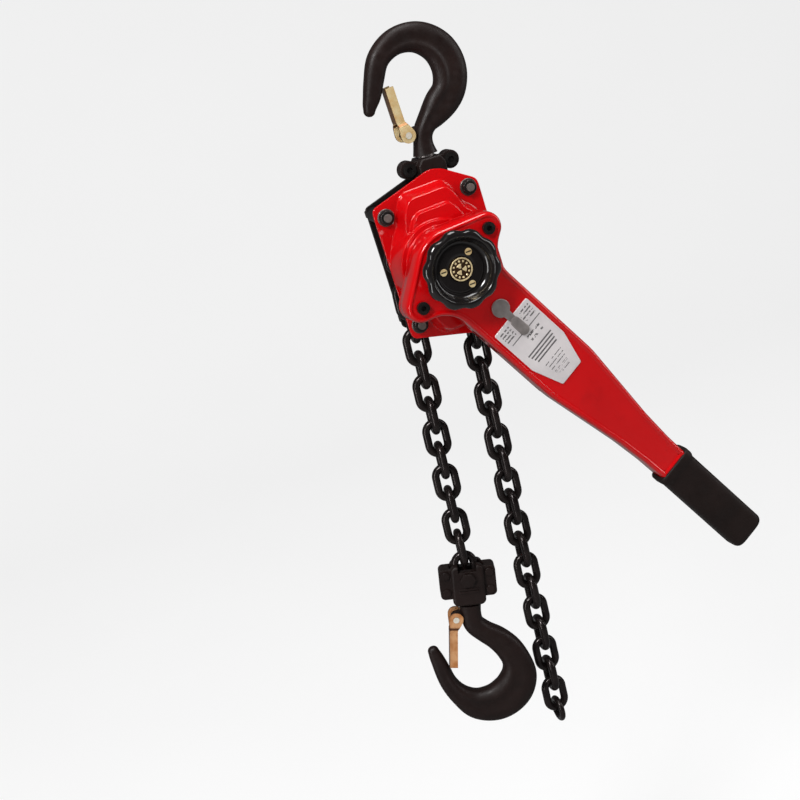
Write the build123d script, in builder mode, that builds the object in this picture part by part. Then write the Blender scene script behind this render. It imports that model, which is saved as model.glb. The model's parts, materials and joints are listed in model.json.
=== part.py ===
"""Lever chain hoist, 1.6 t class, with an 8 x 24 mm load chain.

The origin is the centre of the top hook's bowl. +X is to the right, +Y is into the body and +Z is up.
The main shaft lies along Y. The ratchet lever and hand wheel are at the front (-Y), and the gear train
is at the rear (+Y). All sizes are millimetres.
"""
import math
import os

from build123d import *

os.makedirs("parts", exist_ok=True)

# ---------------------------------------------------------------- driving dimensions
SHAFT_X = -22.6            # main shaft axis, measured from the top hook's bowl centre
SHAFT_Z = -170.2
BODY_LEAN = 4.5            # degrees that the body leans to the left while it hangs
LEVER_ANGLE = -55.2        # degrees of the lever from +X, towards +Z
GEAR_CENTRES = 30.0        # distance from the main shaft to each disc gear

CHAIN_WIRE = 8.0
CHAIN_PITCH = 24.0
LINK_INNER_LENGTH = 24.8
LINK_INNER_WIDTH = 11.2
LOAD_X = SHAFT_X - 28.7    # the load strand hangs here
TAIL_X = SHAFT_X + 30.0    # the slack strand hangs here
LOAD_TOP = SHAFT_Z - 11.7  # centre of the highest free link of each strand
TAIL_TOP = SHAFT_Z - 11.8
LOAD_LINKS = 14
TAIL_LINKS = 21
LOAD_DRIFT = -0.45         # each link of the load strand hangs this far to the side of the one above
LOAD_TWIST = -1.0          # degrees that each link of the load strand is turned about the one above
WRAP_UPRIGHT_R = 29.3      # centres of the links that stand on edge round the sheave
WRAP_FLAT_R = 26.8         # centres of the links that lie flat in the sheave's pockets

PLATE_INNER = 16.0         # half the space between the side plates
PLATE = 4.0
SHEET = 2.2
COVER_FRONT = 52.0         # depth of the brake cover's front face
LEVER_BACK = 54.0
LEVER_FRONT = 80.0
WHEEL_BACK = 82.0
WHEEL_FRONT = 107.0
GEAR_COVER_BACK = 52.0

STAY_POINTS = ((-33.0, 55.0), (54.5, 55.0))
STUD_POINTS = ((-33.0, -55.0), (54.5, -55.0))
LOWER_STAY = (0.0, -48.0)
STAY_R = 5.0
STUD_R = 4.0
TOP_PIN_X = 0.0
TOP_PIN_Z = -106.0
TOP_PIN_R = 6.0
FIT = 0.05                 # radial clearance of a running fit

OUTLINE_CORNER_R = 9.0
OUTLINE_POINTS = ((-44, 66), (22, 84), (34, 81), (66, 60), (66, -60), (34, -81), (22, -84), (-44, -66))
STEP_CORNER_R = 4.0
STEP_ONE = ((-12, 70), (30, 70), (38, 58), (43, 43), (54, 34), (57, 20))
STEP_ONE_LEFT = ((-38, 14), (-35, 26), (-25, 41), (-20, 58))
STEP_TWO = ((-8, 54), (26, 54), (33, 44), (38, 34), (48, 26), (51, 12))
STEP_TWO_LEFT = ((-34, 8), (-31, 24), (-22, 36), (-15, 48))

LEVER_LENGTH = 440.0
LEVER_EAR = (1.5, 48.5)
LEVER_EDGE = ((0, 31.5), (165, 31.3), (255, 20.3), (290, 17.8), (318, 17.3))
LEVER_EDGE_BEND_R = 110.0
GRIP_START = 318.0
LEVER_WALL = 2.4


# ---------------------------------------------------------------- planes
def turned_plane(depth, angle, x=SHAFT_X, z=SHAFT_Z):
    """Plane facing the front, at Y = depth, with its x axis turned by angle from +X towards +Z."""
    turn = math.radians(angle)
    return Plane(origin=(x, depth, z), x_dir=(math.cos(turn), 0, math.sin(turn)), z_dir=(0, -1, 0))


def body_plane(depth):
    return turned_plane(depth, BODY_LEAN)


def lever_plane(depth):
    return turned_plane(depth, LEVER_ANGLE)


def upright_plane(depth, x, z):
    return turned_plane(depth, 0, x, z)


def polar(radius, angle):
    """Point at radius and angle in degrees, counter-clockwise seen from the front."""
    return (radius * math.cos(math.radians(angle)), radius * math.sin(math.radians(angle)))


def mirrored(points):
    """The points, then the same points below the x axis in reverse order."""
    return list(points) + [(x, -y) for x, y in reversed(points)]


def step_outline(right, left):
    """Closed outline, the same above and below the shaft: its right side, then its left side."""
    return mirrored(right) + [(x, -y) for x, y in reversed(left)] + list(left)


# ---------------------------------------------------------------- shared shapes
def finish(name, piece):
    piece.part.label = name
    export_step(piece.part, f"parts/{name}.step")


def rounded_outline(points, radius, inset=0.0):
    """Closed outline with rounded corners, made smaller all round by inset."""
    with BuildSketch(Plane.XY, mode=Mode.PRIVATE) as shape:
        with BuildLine():
            Polyline(*points, close=True)
        make_face()
        fillet(shape.vertices(), radius)
        if inset:
            offset(amount=-inset)
    return shape.sketch


def gear_face(module, teeth, phase):
    """Gear outline with straight-sided teeth that leave running clearance, one tooth centred at phase."""
    pitch_r = module * teeth / 2
    tip_r = pitch_r + 0.95 * module
    root_r = pitch_r - 1.2 * module
    step = 360 / teeth
    points = []
    for index in range(teeth):
        centre = phase + index * step
        for radius, side in ((root_r, -0.30), (tip_r, -0.10), (tip_r, 0.10), (root_r, 0.30)):
            points.append(polar(radius, centre + side * step))
    with BuildSketch(Plane.XY, mode=Mode.PRIVATE) as shape:
        with BuildLine():
            Polyline(*points, close=True)
        make_face()
    return shape.sketch


def coil_spring(name, plane, radius, wire_r, pitch, length):
    """Coil spring that stands on the plane, with its axis along the plane's normal."""
    with BuildPart() as piece:
        with BuildLine() as path:
            Helix(pitch=pitch, height=length, radius=radius, center=plane.origin, direction=plane.z_dir)
        with BuildSketch(Plane(origin=path.line @ 0, z_dir=path.line % 0)):
            Circle(wire_r)
        sweep()
    finish(name, piece)


# ---------------------------------------------------------------- side plates, stays and covers
BUSH_R = 16.0
GUIDE_ROLLER = (51.0, -14.0)
GUIDE_PIN_R = 3.0
PAWL_PIVOT = (4.0, 40.5)
PAWL_POINTS = (PAWL_PIVOT, (-PAWL_PIVOT[0], -PAWL_PIVOT[1]))
PAWL_PIN_R = 3.0
PLATE_INSET = 4.5
DISC_POINTS = ((0.0, GEAR_CENTRES), (0.0, -GEAR_CENTRES))
DISC_BUSH_R = 8.0


def side_plate(name, depth, inset, pin_holes):
    """Frame plate on one side of the load chain; pin_holes are extra (point, radius) holes."""
    with BuildPart() as plate:
        with BuildSketch(body_plane(depth)):
            add(rounded_outline(OUTLINE_POINTS, OUTLINE_CORNER_R, inset))
            Circle(BUSH_R, mode=Mode.SUBTRACT)
            with Locations(*STAY_POINTS, LOWER_STAY):
                Circle(STAY_R, mode=Mode.SUBTRACT)
            with Locations(*STUD_POINTS):
                Circle(STUD_R, mode=Mode.SUBTRACT)
            for point, radius in pin_holes:
                with Locations(point):
                    Circle(radius, mode=Mode.SUBTRACT)
        extrude(amount=PLATE)
        with BuildSketch(upright_plane(depth, TOP_PIN_X, TOP_PIN_Z)):
            Circle(TOP_PIN_R)
        extrude(amount=PLATE, mode=Mode.SUBTRACT)
    finish(name, plate)


front_holes = [(GUIDE_ROLLER, GUIDE_PIN_R)] + [(point, PAWL_PIN_R) for point in PAWL_POINTS]
rear_holes = [(GUIDE_ROLLER, GUIDE_PIN_R)] + [(point, DISC_BUSH_R) for point in DISC_POINTS]
side_plate("side_plate_front", -PLATE_INNER, PLATE_INSET, front_holes)
side_plate("side_plate_rear", PLATE_INNER + PLATE, PLATE_INSET, rear_holes)

STUD_END = 30.0
STAY_SHOULDER_R = 7.5
with BuildPart() as frame_stays:
    with BuildSketch(body_plane(STUD_END)):
        with Locations(*STAY_POINTS):
            Circle(STUD_R)
    extrude(amount=2 * STUD_END)
    with BuildSketch(body_plane(PLATE_INNER + PLATE)):
        with Locations(*STAY_POINTS, LOWER_STAY):
            Circle(STAY_R)
    extrude(amount=2 * (PLATE_INNER + PLATE))
    with BuildSketch(body_plane(PLATE_INNER)):
        with Locations(*STAY_POINTS):
            Circle(STAY_SHOULDER_R)
    extrude(amount=2 * PLATE_INNER)
finish("frame_stays", frame_stays)

STUD_CLEAR = 0.3
with BuildPart() as cover_studs:
    for depth in (STUD_END, -PLATE_INNER - STUD_CLEAR):
        with BuildSketch(body_plane(depth)):
            with Locations(*STUD_POINTS):
                Circle(STUD_R)
        extrude(amount=STUD_END - PLATE_INNER - STUD_CLEAR)
finish("cover_studs", cover_studs)

NUT_SEAT = PLATE_INNER + PLATE + SHEET
NUT_HEIGHT = 6.0
WASHER_HEIGHT = 1.6
FRONT_NUT = (6.5, 8.5)     # half the nut's width across its flats, and the washer's radius
REAR_NUT = (5.2, 6.0)
with BuildPart() as cover_nuts:
    for side, (nut_half, washer_r) in ((-1, FRONT_NUT), (1, REAR_NUT)):
        for size, height in ((nut_half, NUT_HEIGHT), (washer_r, WASHER_HEIGHT)):
            with BuildSketch(body_plane(side * NUT_SEAT + (height if side > 0 else 0))):
                with Locations(*STAY_POINTS, *STUD_POINTS):
                    if height == NUT_HEIGHT:
                        RegularPolygon(size, 6, major_radius=False)
                    else:
                        Circle(size)
                    Circle(STUD_R, mode=Mode.SUBTRACT)
            extrude(amount=height)
finish("cover_nuts", cover_nuts)

STEP_DEPTHS = (PLATE_INNER + PLATE + SHEET, 40.0, 46.0, 50.0, COVER_FRONT)
ROUND_STEP_R = (43.0, 37.5)


def brake_cover_form(inset):
    """Solid inside the stepped brake cover; inset is the sheet's thickness for the hollow."""
    start = -(PLATE_INNER + PLATE)
    profiles = (
        rounded_outline(step_outline(STEP_ONE, STEP_ONE_LEFT), STEP_CORNER_R, inset),
        rounded_outline(step_outline(STEP_TWO, STEP_TWO_LEFT), STEP_CORNER_R, inset),
    )
    with BuildPart() as form:
        for profile, depth in zip(profiles, STEP_DEPTHS[1:3]):
            with BuildSketch(body_plane(start)):
                add(profile)
            extrude(amount=depth - inset + start)
        for radius, depth in zip(ROUND_STEP_R, STEP_DEPTHS[3:]):
            with BuildSketch(body_plane(start)):
                Circle(radius - inset)
            extrude(amount=depth - inset + start)
    return form.part


def cover_flange(depth, inset):
    """Flat rim of a cover, with a hole at each fastener; inset makes it smaller than the outline."""
    with BuildPart() as flange:
        with BuildSketch(body_plane(depth)):
            add(rounded_outline(OUTLINE_POINTS, OUTLINE_CORNER_R, inset))
            with Locations(*STAY_POINTS, *STUD_POINTS):
                Circle(STUD_R + FIT, mode=Mode.SUBTRACT)
        extrude(amount=SHEET)
    return flange.part


BRAKE_BORE_R = 17.0
with BuildPart() as brake_cover:
    add(cover_flange(-(PLATE_INNER + PLATE), 0))
    add(brake_cover_form(0))
    add(brake_cover_form(SHEET), mode=Mode.SUBTRACT)
    with BuildSketch(body_plane(-(PLATE_INNER + PLATE))):
        Circle(BRAKE_BORE_R)
    extrude(amount=COVER_FRONT, mode=Mode.SUBTRACT)
finish("brake_cover", brake_cover)

GEAR_BAY_R = 29.0
GEAR_COVER_INSET = 5.5
GEAR_BOSS_R = 10.0
JOURNAL_R = 5.5
GEAR_BOSS_BACK = 60.0


def gear_cover_form(inset):
    """Solid inside the gear cover; inset is the sheet's thickness for the hollow."""
    back = GEAR_COVER_BACK - inset
    with BuildPart() as form:
        with BuildSketch(body_plane(back)):
            with Locations(*DISC_POINTS):
                Circle(GEAR_BAY_R - inset)
            make_hull()
        extrude(amount=back - PLATE_INNER - PLATE)
    return form.part


with BuildPart() as gear_cover:
    add(cover_flange(PLATE_INNER + PLATE + SHEET, GEAR_COVER_INSET))
    add(gear_cover_form(0))
    with BuildSketch(body_plane(GEAR_BOSS_BACK)):
        with Locations((0, 0), *DISC_POINTS):
            Circle(GEAR_BOSS_R)
    extrude(amount=GEAR_BOSS_BACK - GEAR_COVER_BACK)
    add(gear_cover_form(SHEET), mode=Mode.SUBTRACT)
    with BuildSketch(body_plane(GEAR_BOSS_BACK - SHEET)):
        with Locations((0, 0), *DISC_POINTS):
            Circle(JOURNAL_R + FIT)
    extrude(amount=GEAR_BOSS_BACK - PLATE_INNER - PLATE, mode=Mode.SUBTRACT)
finish("gear_cover", gear_cover)

# ---------------------------------------------------------------- load sheave and its chain
SHEAVE_HALF = 15.5
SHEAVE_GROOVE_R = 15.2
SHEAVE_FLANGE_R = 22.4
SHEAVE_TOOTH_R = 31.0
GROOVE_HALF = 4.8
TOOTH_ROOT_R = 16.0
TOOTH_WIDTH = 4.0
TOOTH_INNER = 8.0          # the teeth stand between this distance and the sheave's ends
SNAP_GROOVE = 0.8
SNAP_THICK = 1.2
SNAP_BACK = 22.5
SNAP_REACH = 1.5
SNAP_MOUTH = (7.0, 6.0)
SHEAVE_JOURNAL_R = 13.0
SHAFT_R = 8.0
LOAD_GEAR_BACK = 34.0
LOAD_GEAR_FRONT = 24.0
TOOTH_ANGLES = (67.5, 157.5, 247.5, 337.5)

with BuildPart() as load_sheave:
    with BuildSketch(upright_plane(SHEAVE_HALF, SHAFT_X, SHAFT_Z)):
        Circle(SHEAVE_FLANGE_R)
    extrude(amount=2 * SHEAVE_HALF)
    for angle in TOOTH_ANGLES:
        for depth in (SHEAVE_HALF, -TOOTH_INNER):
            with BuildSketch(turned_plane(depth, angle)):
                with Locations(((SHEAVE_TOOTH_R + TOOTH_ROOT_R) / 2, 0)):
                    Rectangle(SHEAVE_TOOTH_R - TOOTH_ROOT_R, TOOTH_WIDTH)
            extrude(amount=SHEAVE_HALF - TOOTH_INNER)
    with BuildSketch(upright_plane(GROOVE_HALF, SHAFT_X, SHAFT_Z)):
        Circle(SHEAVE_TOOTH_R + 1)
        Circle(SHEAVE_GROOVE_R, mode=Mode.SUBTRACT)
    extrude(amount=2 * GROOVE_HALF, mode=Mode.SUBTRACT)
    with BuildSketch(upright_plane(LOAD_GEAR_BACK, SHAFT_X, SHAFT_Z)):
        Circle(SHEAVE_JOURNAL_R)
    extrude(amount=LOAD_GEAR_BACK + PLATE_INNER + PLATE + 1)
    with BuildSketch(upright_plane(LOAD_GEAR_BACK, SHAFT_X, SHAFT_Z)):
        Circle(SHAFT_R + FIT)
    extrude(amount=LOAD_GEAR_BACK + PLATE_INNER + PLATE + 1, mode=Mode.SUBTRACT)
    with BuildSketch(upright_plane(SNAP_BACK, SHAFT_X, SHAFT_Z)):
        Circle(SHEAVE_JOURNAL_R)
        Circle(SHEAVE_JOURNAL_R - SNAP_GROOVE, mode=Mode.SUBTRACT)
    extrude(amount=SNAP_THICK, mode=Mode.SUBTRACT)
finish("load_sheave", load_sheave)

with BuildPart() as sheave_bushes:
    for depth in (-PLATE_INNER, PLATE_INNER + PLATE):
        with BuildSketch(upright_plane(depth, SHAFT_X, SHAFT_Z)):
            Circle(BUSH_R)
            Circle(SHEAVE_JOURNAL_R + FIT, mode=Mode.SUBTRACT)
        extrude(amount=PLATE)
finish("sheave_bushes", sheave_bushes)

LOAD_MODULE = 2.0
LOAD_GEAR_TEETH = 20
with BuildPart() as load_gear:
    with BuildSketch(body_plane(LOAD_GEAR_BACK)):
        add(gear_face(LOAD_MODULE, LOAD_GEAR_TEETH, 90))
        Circle(SHEAVE_JOURNAL_R, mode=Mode.SUBTRACT)
    extrude(amount=LOAD_GEAR_BACK - LOAD_GEAR_FRONT)
finish("load_gear", load_gear)

with BuildPart() as gear_snap_ring:
    with BuildSketch(upright_plane(SNAP_BACK, SHAFT_X, SHAFT_Z)):
        Circle(SHEAVE_JOURNAL_R + SNAP_REACH)
        Circle(SHEAVE_JOURNAL_R - SNAP_GROOVE, mode=Mode.SUBTRACT)
        with Locations((0, -SHEAVE_JOURNAL_R)):
            Rectangle(*SNAP_MOUTH, mode=Mode.SUBTRACT)
    extrude(amount=SNAP_THICK)
finish("gear_snap_ring", gear_snap_ring)


def link_shape():
    """One upright chain link in the XZ plane, centred on the origin."""
    half_width = LINK_INNER_WIDTH / 2 + CHAIN_WIRE / 2
    half_straight = LINK_INNER_LENGTH / 2 - LINK_INNER_WIDTH / 2
    with BuildPart() as link:
        with BuildLine(Plane.XZ) as path:
            Line((half_width, -half_straight), (half_width, half_straight))
            CenterArc((0, half_straight), half_width, 0, 180)
            Line((-half_width, half_straight), (-half_width, -half_straight))
            CenterArc((0, -half_straight), half_width, 180, 180)
        with BuildSketch(Plane(origin=(half_width, 0, -half_straight), z_dir=(0, 0, 1))):
            Circle(CHAIN_WIRE / 2)
        sweep(path=path.wire())
    return link.part


LINK = link_shape()
FLAT_TURN = Location((0, 0, 0), (0, 0, 90))


def strand(x, top, count, first_is_flat, drift=0.0, twist=0.0):
    """Hanging links, each turned a quarter from the one above it, with a little drift and twist per link."""
    with BuildPart() as links:
        for index in range(count):
            place = Location((x + index * drift, 0, top - index * CHAIN_PITCH), (0, 0, index * twist))
            is_flat = (index % 2 == 0) == first_is_flat
            add(LINK.moved(place * FLAT_TURN if is_flat else place))
    return links


finish("load_chain", strand(LOAD_X, LOAD_TOP, LOAD_LINKS, True, LOAD_DRIFT, LOAD_TWIST))
finish("tail_chain", strand(TAIL_X, TAIL_TOP, TAIL_LINKS, False))

with BuildPart() as sheave_chain:
    for angle, is_flat in ((-67.5, False), (-22.5, True), (22.5, False), (67.5, True)):
        radius = WRAP_FLAT_R if is_flat else WRAP_UPRIGHT_R
        turn = math.radians(angle)
        place = Location(
            (SHAFT_X + radius * math.sin(turn), 0, SHAFT_Z + radius * math.cos(turn)), (0, 90 + angle, 0)
        )
        add(LINK.moved(place * FLAT_TURN if is_flat else place))
finish("sheave_chain", sheave_chain)

TAIL_BOTTOM = TAIL_TOP - (TAIL_LINKS - 1) * CHAIN_PITCH
RING_R = 11.0
RING_WIRE_R = 3.0
with BuildPart() as tail_stop_ring:
    ring_centre = TAIL_BOTTOM - LINK_INNER_LENGTH / 2 - CHAIN_WIRE / 2 - RING_R + CHAIN_WIRE + 1
    with BuildSketch(Plane(origin=(TAIL_X, 0, ring_centre))):
        with Locations((0, RING_R)):
            Circle(RING_WIRE_R)
    revolve(axis=Axis((TAIL_X, 0, ring_centre), (1, 0, 0)))
finish("tail_stop_ring", tail_stop_ring)

STRIPPER_HALF = 3.5
STRIPPER_GAP = 1.5
STRIPPER_POINTS = ((-10, -12), (-13, -30), (-9, -60), (9, -60), (13, -30), (10, -12))
with BuildPart() as chain_stripper:
    with BuildSketch(upright_plane(STRIPPER_HALF, SHAFT_X, SHAFT_Z)):
        with BuildLine():
            Polyline(*STRIPPER_POINTS, close=True)
        make_face()
        Circle(SHEAVE_GROOVE_R + STRIPPER_GAP, mode=Mode.SUBTRACT)
    extrude(amount=2 * STRIPPER_HALF)
    with BuildSketch(body_plane(STRIPPER_HALF)):
        with Locations(LOWER_STAY):
            Circle(STAY_R + FIT)
    extrude(amount=2 * STRIPPER_HALF, mode=Mode.SUBTRACT)
finish("chain_stripper", chain_stripper)

GUIDE_ROLLER_R = 6.0
ROLLER_GAP = 0.5
with BuildPart() as guide_pin:
    with BuildSketch(body_plane(PLATE_INNER + PLATE)):
        with Locations(GUIDE_ROLLER):
            Circle(GUIDE_PIN_R)
    extrude(amount=2 * (PLATE_INNER + PLATE))
finish("guide_pin", guide_pin)

with BuildPart() as guide_roller:
    with BuildSketch(body_plane(PLATE_INNER - ROLLER_GAP)):
        with Locations(GUIDE_ROLLER):
            Circle(GUIDE_ROLLER_R)
            Circle(GUIDE_PIN_R + FIT, mode=Mode.SUBTRACT)
    extrude(amount=2 * (PLATE_INNER - ROLLER_GAP))
finish("guide_roller", guide_roller)

# ---------------------------------------------------------------- gear train
PINION_BACK = 46.0
PINION_FRONT = 36.2
DISC_BACK = 45.0
DISC_FRONT = 36.4
JOURNAL_BACK = 57.0
SHAFT_SHOULDER = 24.0
INPUT_MODULE = 1.5
PINION_TEETH = 10
SHAFT_END = 95.0
THREAD_R = 7.4

with BuildPart() as pinion_shaft:
    with BuildSketch(upright_plane(JOURNAL_BACK, SHAFT_X, SHAFT_Z)):
        Circle(JOURNAL_R)
    extrude(amount=JOURNAL_BACK + SHAFT_END)
    with BuildSketch(body_plane(PINION_BACK)):
        add(gear_face(INPUT_MODULE, PINION_TEETH, 90))
    extrude(amount=PINION_BACK - PINION_FRONT)
    with BuildSketch(upright_plane(PINION_FRONT, SHAFT_X, SHAFT_Z)):
        Circle(SHAFT_R)
    extrude(amount=PINION_FRONT + SHAFT_SHOULDER)
    with BuildSketch(upright_plane(-SHAFT_SHOULDER, SHAFT_X, SHAFT_Z)):
        Circle(THREAD_R)
    extrude(amount=SHAFT_END - SHAFT_SHOULDER)
finish("pinion_shaft", pinion_shaft)

DISC_PINION_FRONT = 23.6
DISC_JOURNAL_FRONT = 17.0
DISC_NECK_R = 7.0
for name, centre in (("disc_gear_upper", DISC_POINTS[0]), ("disc_gear_lower", DISC_POINTS[1])):
    with BuildPart() as disc_gear:
        with BuildSketch(body_plane(JOURNAL_BACK)):
            with Locations(centre):
                Circle(JOURNAL_R)
        extrude(amount=JOURNAL_BACK - DISC_JOURNAL_FRONT)
        with BuildSketch(body_plane(LOAD_GEAR_BACK)):
            with Locations(centre):
                add(gear_face(LOAD_MODULE, LOAD_GEAR_TEETH // 2, 0))
        extrude(amount=LOAD_GEAR_BACK - DISC_PINION_FRONT)
        with BuildSketch(body_plane(DISC_BACK)):
            with Locations(centre):
                add(gear_face(INPUT_MODULE, 3 * PINION_TEETH, 0))
        extrude(amount=DISC_BACK - DISC_FRONT)
        with BuildSketch(body_plane(DISC_FRONT)):
            with Locations(centre):
                Circle(DISC_NECK_R)
        extrude(amount=DISC_FRONT - LOAD_GEAR_BACK)
    finish(name, disc_gear)

with BuildPart() as disc_gear_bushes:
    with BuildSketch(body_plane(PLATE_INNER + PLATE)):
        with Locations(*DISC_POINTS):
            Circle(DISC_BUSH_R)
            Circle(JOURNAL_R + FIT, mode=Mode.SUBTRACT)
    extrude(amount=PLATE)
finish("disc_gear_bushes", disc_gear_bushes)

# ---------------------------------------------------------------- load brake
DISC_BORE_R = 13.3
FRICTION_R = 26.0
RATCHET_TIP_R = 33.0
RATCHET_ROOT_R = 27.0
RATCHET_TEETH = 10
RATCHET_PHASE = 48.0
RATCHET_BACK = 29.4
RATCHET_FRONT = 34.4
NECK_R = 13.0

HUB_BACK = 24.4
HUB_STEP = 27.0
HUB_FRONT = 36.5
with BuildPart() as friction_hub:
    for depth, end, radius in ((HUB_BACK, HUB_STEP, FRICTION_R), (HUB_STEP, HUB_FRONT, NECK_R)):
        with BuildSketch(upright_plane(-depth, SHAFT_X, SHAFT_Z)):
            Circle(radius)
            Circle(THREAD_R, mode=Mode.SUBTRACT)
        extrude(amount=end - depth)
finish("friction_hub", friction_hub)

LINING = 2.0
LINING_GAP = 0.2
with BuildPart() as friction_discs:
    for depth in (HUB_STEP + LINING_GAP, RATCHET_FRONT + LINING_GAP):
        with BuildSketch(upright_plane(-depth, SHAFT_X, SHAFT_Z)):
            Circle(FRICTION_R)
            Circle(DISC_BORE_R, mode=Mode.SUBTRACT)
        extrude(amount=LINING)
finish("friction_discs", friction_discs)

RATCHET_STEP = 360 / RATCHET_TEETH
ratchet_points = []
for index in range(RATCHET_TEETH):
    tooth_angle = RATCHET_PHASE + index * RATCHET_STEP
    ratchet_points.append(polar(RATCHET_TIP_R, tooth_angle))
    ratchet_points.append(polar(RATCHET_ROOT_R, tooth_angle))
with BuildPart() as ratchet_disc:
    with BuildSketch(body_plane(-RATCHET_BACK)):
        with BuildLine():
            Polyline(*ratchet_points, close=True)
        make_face()
        Circle(DISC_BORE_R, mode=Mode.SUBTRACT)
    extrude(amount=RATCHET_FRONT - RATCHET_BACK)
finish("ratchet_disc", ratchet_disc)

PAWL_BOSS_R = 5.5
NOSE_INNER = polar(RATCHET_ROOT_R + 0.9, RATCHET_PHASE + 1.2)
NOSE_OUTER = polar(RATCHET_TIP_R + 0.5, RATCHET_PHASE + 1.2)
NOSE_HEEL = polar(RATCHET_ROOT_R + 2.2, RATCHET_PHASE + 9)
PAWL_BELLY = polar(RATCHET_TIP_R + 1.0, RATCHET_PHASE + 25)
PAWL_SHOULDER = (PAWL_PIVOT[0] + 4.5, PAWL_PIVOT[1] + 3.0)
pawl_points = (NOSE_INNER, NOSE_OUTER, PAWL_SHOULDER, PAWL_PIVOT, PAWL_BELLY, NOSE_HEEL)
for name, half_turn in (("pawl_upper", 0), ("pawl_lower", 180)):
    with BuildPart() as pawl:
        with BuildSketch(turned_plane(-RATCHET_BACK, BODY_LEAN + half_turn)):
            with BuildLine():
                Polyline(*pawl_points, close=True)
            make_face()
            with Locations(PAWL_PIVOT):
                Circle(PAWL_BOSS_R)
                Circle(PAWL_PIN_R + FIT, mode=Mode.SUBTRACT)
        extrude(amount=RATCHET_FRONT - RATCHET_BACK)
    finish(name, pawl)

with BuildPart() as pawl_pins:
    with BuildSketch(body_plane(-PLATE_INNER)):
        with Locations(*PAWL_POINTS):
            Circle(PAWL_PIN_R)
    extrude(amount=RATCHET_FRONT + 2 - PLATE_INNER)
finish("pawl_pins", pawl_pins)

PAWL_SPRING_BACK = 29.0
PAWL_SPRING_LENGTH = 7.0
for name, point in (("pawl_spring_upper", PAWL_POINTS[0]), ("pawl_spring_lower", PAWL_POINTS[1])):
    spring_seat = body_plane(-PAWL_SPRING_BACK + PAWL_SPRING_LENGTH)
    spring_seat = spring_seat.shift_origin(spring_seat.from_local_coords(point))
    coil_spring(name, spring_seat, radius=4.4, wire_r=0.6, pitch=1.7, length=PAWL_SPRING_LENGTH - 1)

CHANGE_BACK = 36.8
CHANGE_FLANGE = 39.8
CHANGE_NECK_R = 14.0
CHANGE_TEETH_BACK = 59.0
CHANGE_TEETH_FRONT = 69.0
CHANGE_TIP_R = 20.5
CHANGE_ROOT_R = 16.5
CHANGE_TEETH = 12
CHANGE_NOTCH_R = 4.2
CHANGE_NOTCH_OUT = 1.5     # the notches are centred this far outside the tips
LEVER_HUB_R = 12.0
with BuildPart() as change_gear:
    with BuildSketch(upright_plane(-CHANGE_BACK, SHAFT_X, SHAFT_Z)):
        Circle(FRICTION_R)
    extrude(amount=CHANGE_FLANGE - CHANGE_BACK)
    with BuildSketch(upright_plane(-CHANGE_FLANGE, SHAFT_X, SHAFT_Z)):
        Circle(CHANGE_NECK_R)
    extrude(amount=CHANGE_TEETH_FRONT - CHANGE_FLANGE)
    with BuildSketch(lever_plane(-CHANGE_TEETH_BACK)):
        Circle(CHANGE_TIP_R)
        with PolarLocations(CHANGE_TIP_R + CHANGE_NOTCH_OUT, CHANGE_TEETH, start_angle=180 / CHANGE_TEETH):
            Circle(CHANGE_NOTCH_R, mode=Mode.SUBTRACT)
    extrude(amount=CHANGE_TEETH_FRONT - CHANGE_TEETH_BACK)
    with BuildSketch(upright_plane(-CHANGE_TEETH_FRONT, SHAFT_X, SHAFT_Z)):
        Circle(LEVER_HUB_R)
    extrude(amount=LEVER_FRONT + 1 - CHANGE_TEETH_FRONT)
    with BuildSketch(upright_plane(-CHANGE_BACK, SHAFT_X, SHAFT_Z)):
        Circle(THREAD_R)
    extrude(amount=LEVER_FRONT + 1 - CHANGE_BACK, mode=Mode.SUBTRACT)
finish("change_gear", change_gear)

# ---------------------------------------------------------------- hand wheel
WHEEL_R = 36.5
WHEEL_LOBES = 10
WHEEL_LOBE_R = 6.5
WHEEL_LOBE_IN = 3.5        # the lobes are centred this far inside the rim
WHEEL_LOBE_BLEND_R = 5.0
WHEEL_EDGE_R = 4.0
DISH_RIM_R = 30.0
DISH_FLOOR_R = 22.0
DISH_FLOOR = 98.0
WHEEL_SCREWS_R = 17.5
WHEEL_SCREW_COUNT = 3
WHEEL_SCREW_PHASE = 50.0
WHEEL_SCREW_R = 2.0
WHEEL_SCREW_HEAD_R = 3.4
WHEEL_SCREW_HEAD = 1.8
CAP_R = 11.5
NUT_BACK = 90.0
WHEEL_PHASE = 20.0
with BuildSketch(Plane.XY) as wheel_outline:
    Circle(WHEEL_R)
    with PolarLocations(WHEEL_R - WHEEL_LOBE_IN, WHEEL_LOBES, start_angle=WHEEL_PHASE):
        Circle(WHEEL_LOBE_R)
    fillet(wheel_outline.vertices(), WHEEL_LOBE_BLEND_R)

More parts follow.
